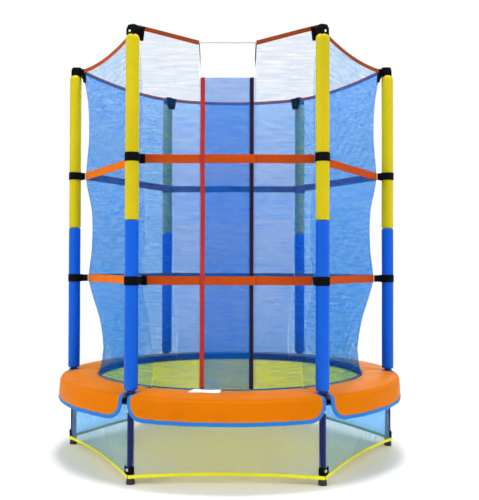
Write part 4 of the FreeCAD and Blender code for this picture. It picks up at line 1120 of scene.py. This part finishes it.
slotRow = int(np.argmax(padOutside[:, 0] > pad["slot"]))
creaseRow = int(np.argmax(padOutside[:, 0] > pad["crease"] - 0.0002))
for side in range(sideCount):
    top, low, flat = padGrids(side)
    piece = newPiece(f"safetyPad{side + 1}", slab(top, low, flat), "orange_vinyl", "safety_pad")
    piece.data.set_sharp_from_angle(angle=math.radians(55))

    # the binding runs up one edge from the slot, along the hem and down the other edge
    normals = gridNormals(top)
    if normals[:40, pad["columns"] // 2, 2].mean() < 0:
        normals = -normals
    inner = top - normals * 0.0024
    rim, facing = (np.concatenate([values[slotRow:, first], values[-1, 1:-1],
                                   values[slotRow:, -1 - first][::-1]])
                   for values, first in ((inner, 0), (normals, 1)))
    walked = runLength(rim)
    at = np.linspace(0.0005, walked[-1] - 0.0005, pad["bindingSteps"])
    line, normal = sampled(at, walked, rim), unit(sampled(at, walked, facing))
    for _ in range(3):
        line[1:-1] = (line[:-2] + 2 * line[1:-1] + line[2:]) / 4
        normal[1:-1] = unit(normal[:-2] + 2 * normal[1:-1] + normal[2:])
    section = flatSection(pad["bindingWidth"], pad["bindingThick"], 14, 0.4)
    newPiece(f"padBinding{side + 1}", swept(line, normal, section), "blue_binding", "pad_binding")

    facing = normals[creaseRow, 4:-4]
    seam = top[creaseRow, 4:-4] + facing * 0.0001
    newPiece(f"padPiping{side + 1}", swept(seam, facing, roundSection(pad["piping"])),
             "orange_vinyl")
    threads = [stitches(top[row, 6:-6], normals[row, 6:-6], 0.0042, 0.0018, 0.0004)
               for row in (creaseRow - 3, creaseRow + 3)]
    newPiece(f"padSeamStitches{side + 1}", joined(threads), "dark orange thread")

    angle = np.linspace(-1, 1, 90) * (halfTurn - 0.0012) + (2 * side + 1) * halfTurn
    line, away = onCircle(0.5608, angle, 0.3138), onCircle(1.0, angle, 0.0)
    newPiece(f"padInnerBinding{side + 1}", swept(line, away, flatSection(0.0205, 0.0017)),
             "navy_webbing", "pad_binding", slot="blue_binding")

label = {"from": -1.785, "to": -1.605, "inner": 0.566, "outer": 0.632, "thick": 0.0006,
         "lift": 0.0014}
t, s = steps(12, 26)
angle = label["from"] + (label["to"] - label["from"]) * s
radius = label["inner"] + (label["outer"] - label["inner"]) * t
height = np.interp(radius, *padOutside[18:40].T) + label["lift"] + 0.0005 * np.sin(9 * s + 4 * t)
newPiece("blankTag",
         clothSheet(onCircle(radius, angle, height), label["thick"], angle * 0.57, radius),
         "white_cloth")
print("safety pad stuffed")


cord = {"radius": 0.00175, "loop": 0.01455, "upper": 0.3275, "lower": 0.306, "pitch": 0.0036,
        "thin": 0.9, "knot": 0.0026}


def tieCord(corner, height, turns, seed):
    # A cord wound round the pole, crossed in a small knot, with two short tails.
    place, outward, sideways = cornerFrame(corner)
    draw = np.random.default_rng(seed)
    start = draw.uniform(0.5, 1.2)
    turn = np.linspace(start, start + turns * math.tau, 40 * turns)
    wound = (turns - 1) * cord["pitch"]
    ring = place + cord["loop"] * (np.cos(turn)[:, None] * outward
                                   + np.sin(turn)[:, None] * sideways)
    ring[:, 2] = height - wound + np.linspace(0, wound + 0.0001, len(turn))
    knotAt = ring[0] * [1, 1, 0] + [0, 0, height]
    away = unit((knotAt - place) * [1, 1, 0])
    side = np.cross((0, 0, 1.0), away)
    thin = roundSection(cord["radius"] * cord["thin"])
    shapes = [swept(ring, unit((ring - place) * [1, 1, 0]), roundSection(cord["radius"]))]
    for lean in (-1, 1):
        tail = smoothLine([(0.0, 0.0, 0.0), (0.0022, lean * 0.003, 0.001),
                           (0.003, lean * 0.007, -0.004), (0.0028, lean * 0.009, -0.011),
                           (0.0026, lean * 0.0085, -0.017)], 22)
        line = knotAt + tail[:, :1] * away + tail[:, 1:2] * side + tail[:, 2:] * [0, 0, 1.0]
        shapes.append(swept(line, away, thin))
    turn = wholeTurn(22)[:, None]
    curl = cord["knot"] * (np.cos(turn) * side + np.sin(turn) * [0, 0, 1.0])
    shapes.append(swept(knotAt + away * 0.0012 + curl, away, thin, True))
    return joined(shapes)


for corner in range(sideCount):
    for level, turns in (("upper", 2), ("lower", 1)):
        newPiece(f"tieCord{level.capitalize()}{corner + 1}",
                 tieCord(corner, cord[level], turns, 70 + corner), "navy_cord", "pad_tie_cords")
print("cords tied")


skirt = {"topRadius": 0.6868, "topHeight": 0.2788, "legGap": 0.014, "corner": 0.696,
         "hemLow": 0.021, "hemWidth": 0.013, "hemThick": 0.0012, "rise": 0.009, "bow": 0.015,
         "thick": 0.0010, "lean": 0.396, "rows": 40, "columns": 60, "seam": 0.0048}


def hemLine(side, count, height, offset, endGap):
    # The hem: straight between the legs, but bowed in and lifted by a parabola.
    straight, half = skirt["corner"] * math.cos(halfTurn), skirt["corner"] * math.sin(halfTurn)
    across = np.linspace(endGap - half, half - endGap, count)
    share = 1 - (across / half) ** 2
    outward, along = sideAxes(side)
    lean = skirt["lean"] * share
    out = straight - skirt["bow"] * share + offset + lean * (height - skirt["hemLow"])
    line = out[:, None] * outward + across[:, None] * along
    line[:, 2] = height + skirt["rise"] * share
    return line, unit(outward - lean[:, None] * [0, 0, 1.0])


def skirtPanel(side):
    # Net drawn from the rail's circle straight down to the hem, with shallow folds.
    draw = np.random.default_rng(90 + side)
    outward, along = sideAxes(side)
    foot, _ = hemLine(side, skirt["columns"], skirt["hemLow"] + 0.004, 0.0006, skirt["legGap"])
    reach = skirt["topRadius"] * math.sin(halfTurn) - skirt["legGap"]
    across = np.linspace(-reach, reach, skirt["columns"])
    out = np.sqrt(skirt["topRadius"] ** 2 - across ** 2)
    head = out[:, None] * outward + across[:, None] * along
    head[:, 2] = skirt["topHeight"]
    t = np.linspace(0, 1, skirt["rows"])[:, None]
    grid = foot + (head - foot) * t[..., None]
    fold = ripples(draw, (11, 19, 31), across)
    pull = np.sin(math.pi * t)
    grid = grid + (0.0032 * fold * pull - 0.006 * pull)[..., None] * outward
    return clothSheet(grid, skirt["thick"], across, grid[..., 2])


# painted light and shade: each side's skirt takes its own copy of the net, toned for the light
# there
skirtLooks = ["far skirt net"] * 3 + ["side skirt net", "skirt_net_cloth", "side skirt net"]
for side in range(sideCount):
    piece = newPiece(f"skirtNet{side + 1}", skirtPanel(side), skirtLooks[side], "skirt_net",
                     slot="skirt_net_cloth")
    line, facing = hemLine(side, 80, skirt["hemLow"] + skirt["hemWidth"] / 2, 0.0021, 0.0003)
    newPiece(f"skirtHem{side + 1}",
             swept(line, facing, flatSection(skirt["hemWidth"], skirt["hemThick"])),
             "yellow_hem_tape", "skirt_hem")
    upwards = unit(np.cross(facing, np.gradient(line, axis=0)))
    seams = [stitches(line + facing * 0.0006 + upwards * lift, facing, gap=0.0014)
             for lift in (-skirt["seam"], skirt["seam"])]
    newPiece(f"skirtHemStitches{side + 1}", joined(seams), "yellow_hem_tape")

patch = {"low": 0.0355, "high": 0.0695, "reach": 0.025, "thick": 0.0020, "out": 0.0017,
         "eyeOut": 0.0012, "eyeRadius": 0.0040, "eyeWire": 0.0011}


def cornerPatch(corner):
    # A plate bent round the leg: its plan is a rounded corner, and its top edge a shallow W.
    _, outward, sideways = cornerFrame(corner)
    apex = outward * (skirt["corner"] + patch["out"] / math.cos(halfTurn) + patch["thick"] / 2)
    ends = [apex + patch["reach"] * (way * math.cos(halfTurn) * sideways
                                     - math.sin(halfTurn) * outward) for way in (-1, 1)]
    plan = smoothLine([ends[0], apex, ends[1]], 40)
    t, s = steps(16, 40, -1)
    top = patch["high"] - 0.010 * (1 - np.abs(s) ** 1.5) ** 1.5 - 0.008 * np.abs(s) ** 6
    low = patch["low"] + 0.006 * np.abs(s) ** 4
    grid = np.broadcast_to(plan[None], (16, 40, 3)).copy()
    grid[..., 2] = low + (top - low) * t
    normals = gridNormals(grid) * [1, 1, 0]
    normals = unit(normals) * patch["thick"] / 2
    flat = np.stack([s * 0.025 + 0 * t, grid[..., 2]], -1)
    ring = apex + outward * patch["eyeOut"]
    ring[2] = (patch["low"] + patch["high"]) / 2
    return (slab(grid - normals, grid + normals, flat),
            eyelet(ring, outward, patch["eyeRadius"], patch["eyeWire"]))


for corner in range(sideCount):
    plate, ring = cornerPatch(corner)
    piece = newPiece(f"skirtPatch{corner + 1}", plate, "black_webbing", "skirt_corner_patches")
    piece.data.set_sharp_from_angle(angle=math.radians(40))
    newPiece(f"skirtEyelet{corner + 1}", ring, "steel ring")
print("skirt hung")


stage = {"half": 9.0, "low": -0.0005, "near": 0.85, "far": 1.6}

half, low = stage["half"], stage["low"]
mesh = bpy.data.meshes.new("floor")
mesh.from_pydata([(-half, -half, low), (half, -half, low), (half, half, low), (-half, half, low)],
                 [], [(0, 1, 2, 3)])
floor = placed("floor", mesh)
# the pale floor fades to plain white away from the object, for the camera only
material, add, into = startMaterial("floor", (0.98, 0.98, 0.98, 1), 0.9)
paths = add("LightPath").node.outputs
fromMiddle = add("VectorMath", {0: add("TexCoord").node.outputs["Object"]}, operation="LENGTH")
away = remap(add, fromMiddle.node.outputs["Value"], stage["near"], stage["far"], 0, 1, True)
white = add("Emission", {"Color": (1, 1, 1, 1), "Strength": 1.0})
overlaid(material, add, maths(add, "MULTIPLY", away, paths["Is Camera Ray"]), white)
floor.data.materials.append(material)

world = bpy.data.worlds.new("world")
scene.world = world
world.use_nodes = True
add = adder(world.node_tree)
paths = add("LightPath").node.outputs
plain = add("Background", {"Color": (0.93, 0.96, 1.0, 1), "Strength": 0.55})
bright = add("Background", {"Color": (1, 1, 1, 1), "Strength": 1.0})
seen = maths(add, "MAXIMUM", paths["Is Camera Ray"], paths["Is Glossy Ray"])
seen = maths(add, "MAXIMUM", seen, paths["Is Transmission Ray"])
either = add("MixShader", {0: seen, 1: plain, 2: bright})
world.node_tree.links.new(either, world.node_tree.nodes["World Output"].inputs["Surface"])

# each lamp: its place, size and power
lamps = {"key": ((-3.6, -3.4, 2.8), 2.0, 92), "fill": ((4.0, -2.4, 2.4), 2.2, 66),
         "back": ((0.6, 3.4, 2.6), 2.6, 95), "top": ((0, -0.2, 4.2), 1.6, 165)}
for name, (place, size, power) in lamps.items():
    lamp = placed(name, bpy.data.lights.new(name, "AREA"))
    lamp.data.size = size
    lamp.data.energy = power
    lamp.location = place
    aim = np.array([0, 0, 0.7]) - place
    lamp.rotation_mode = "QUATERNION"
    lamp.rotation_quaternion = Vector(aim).to_track_quat("-Z", "Y")
print("lit")
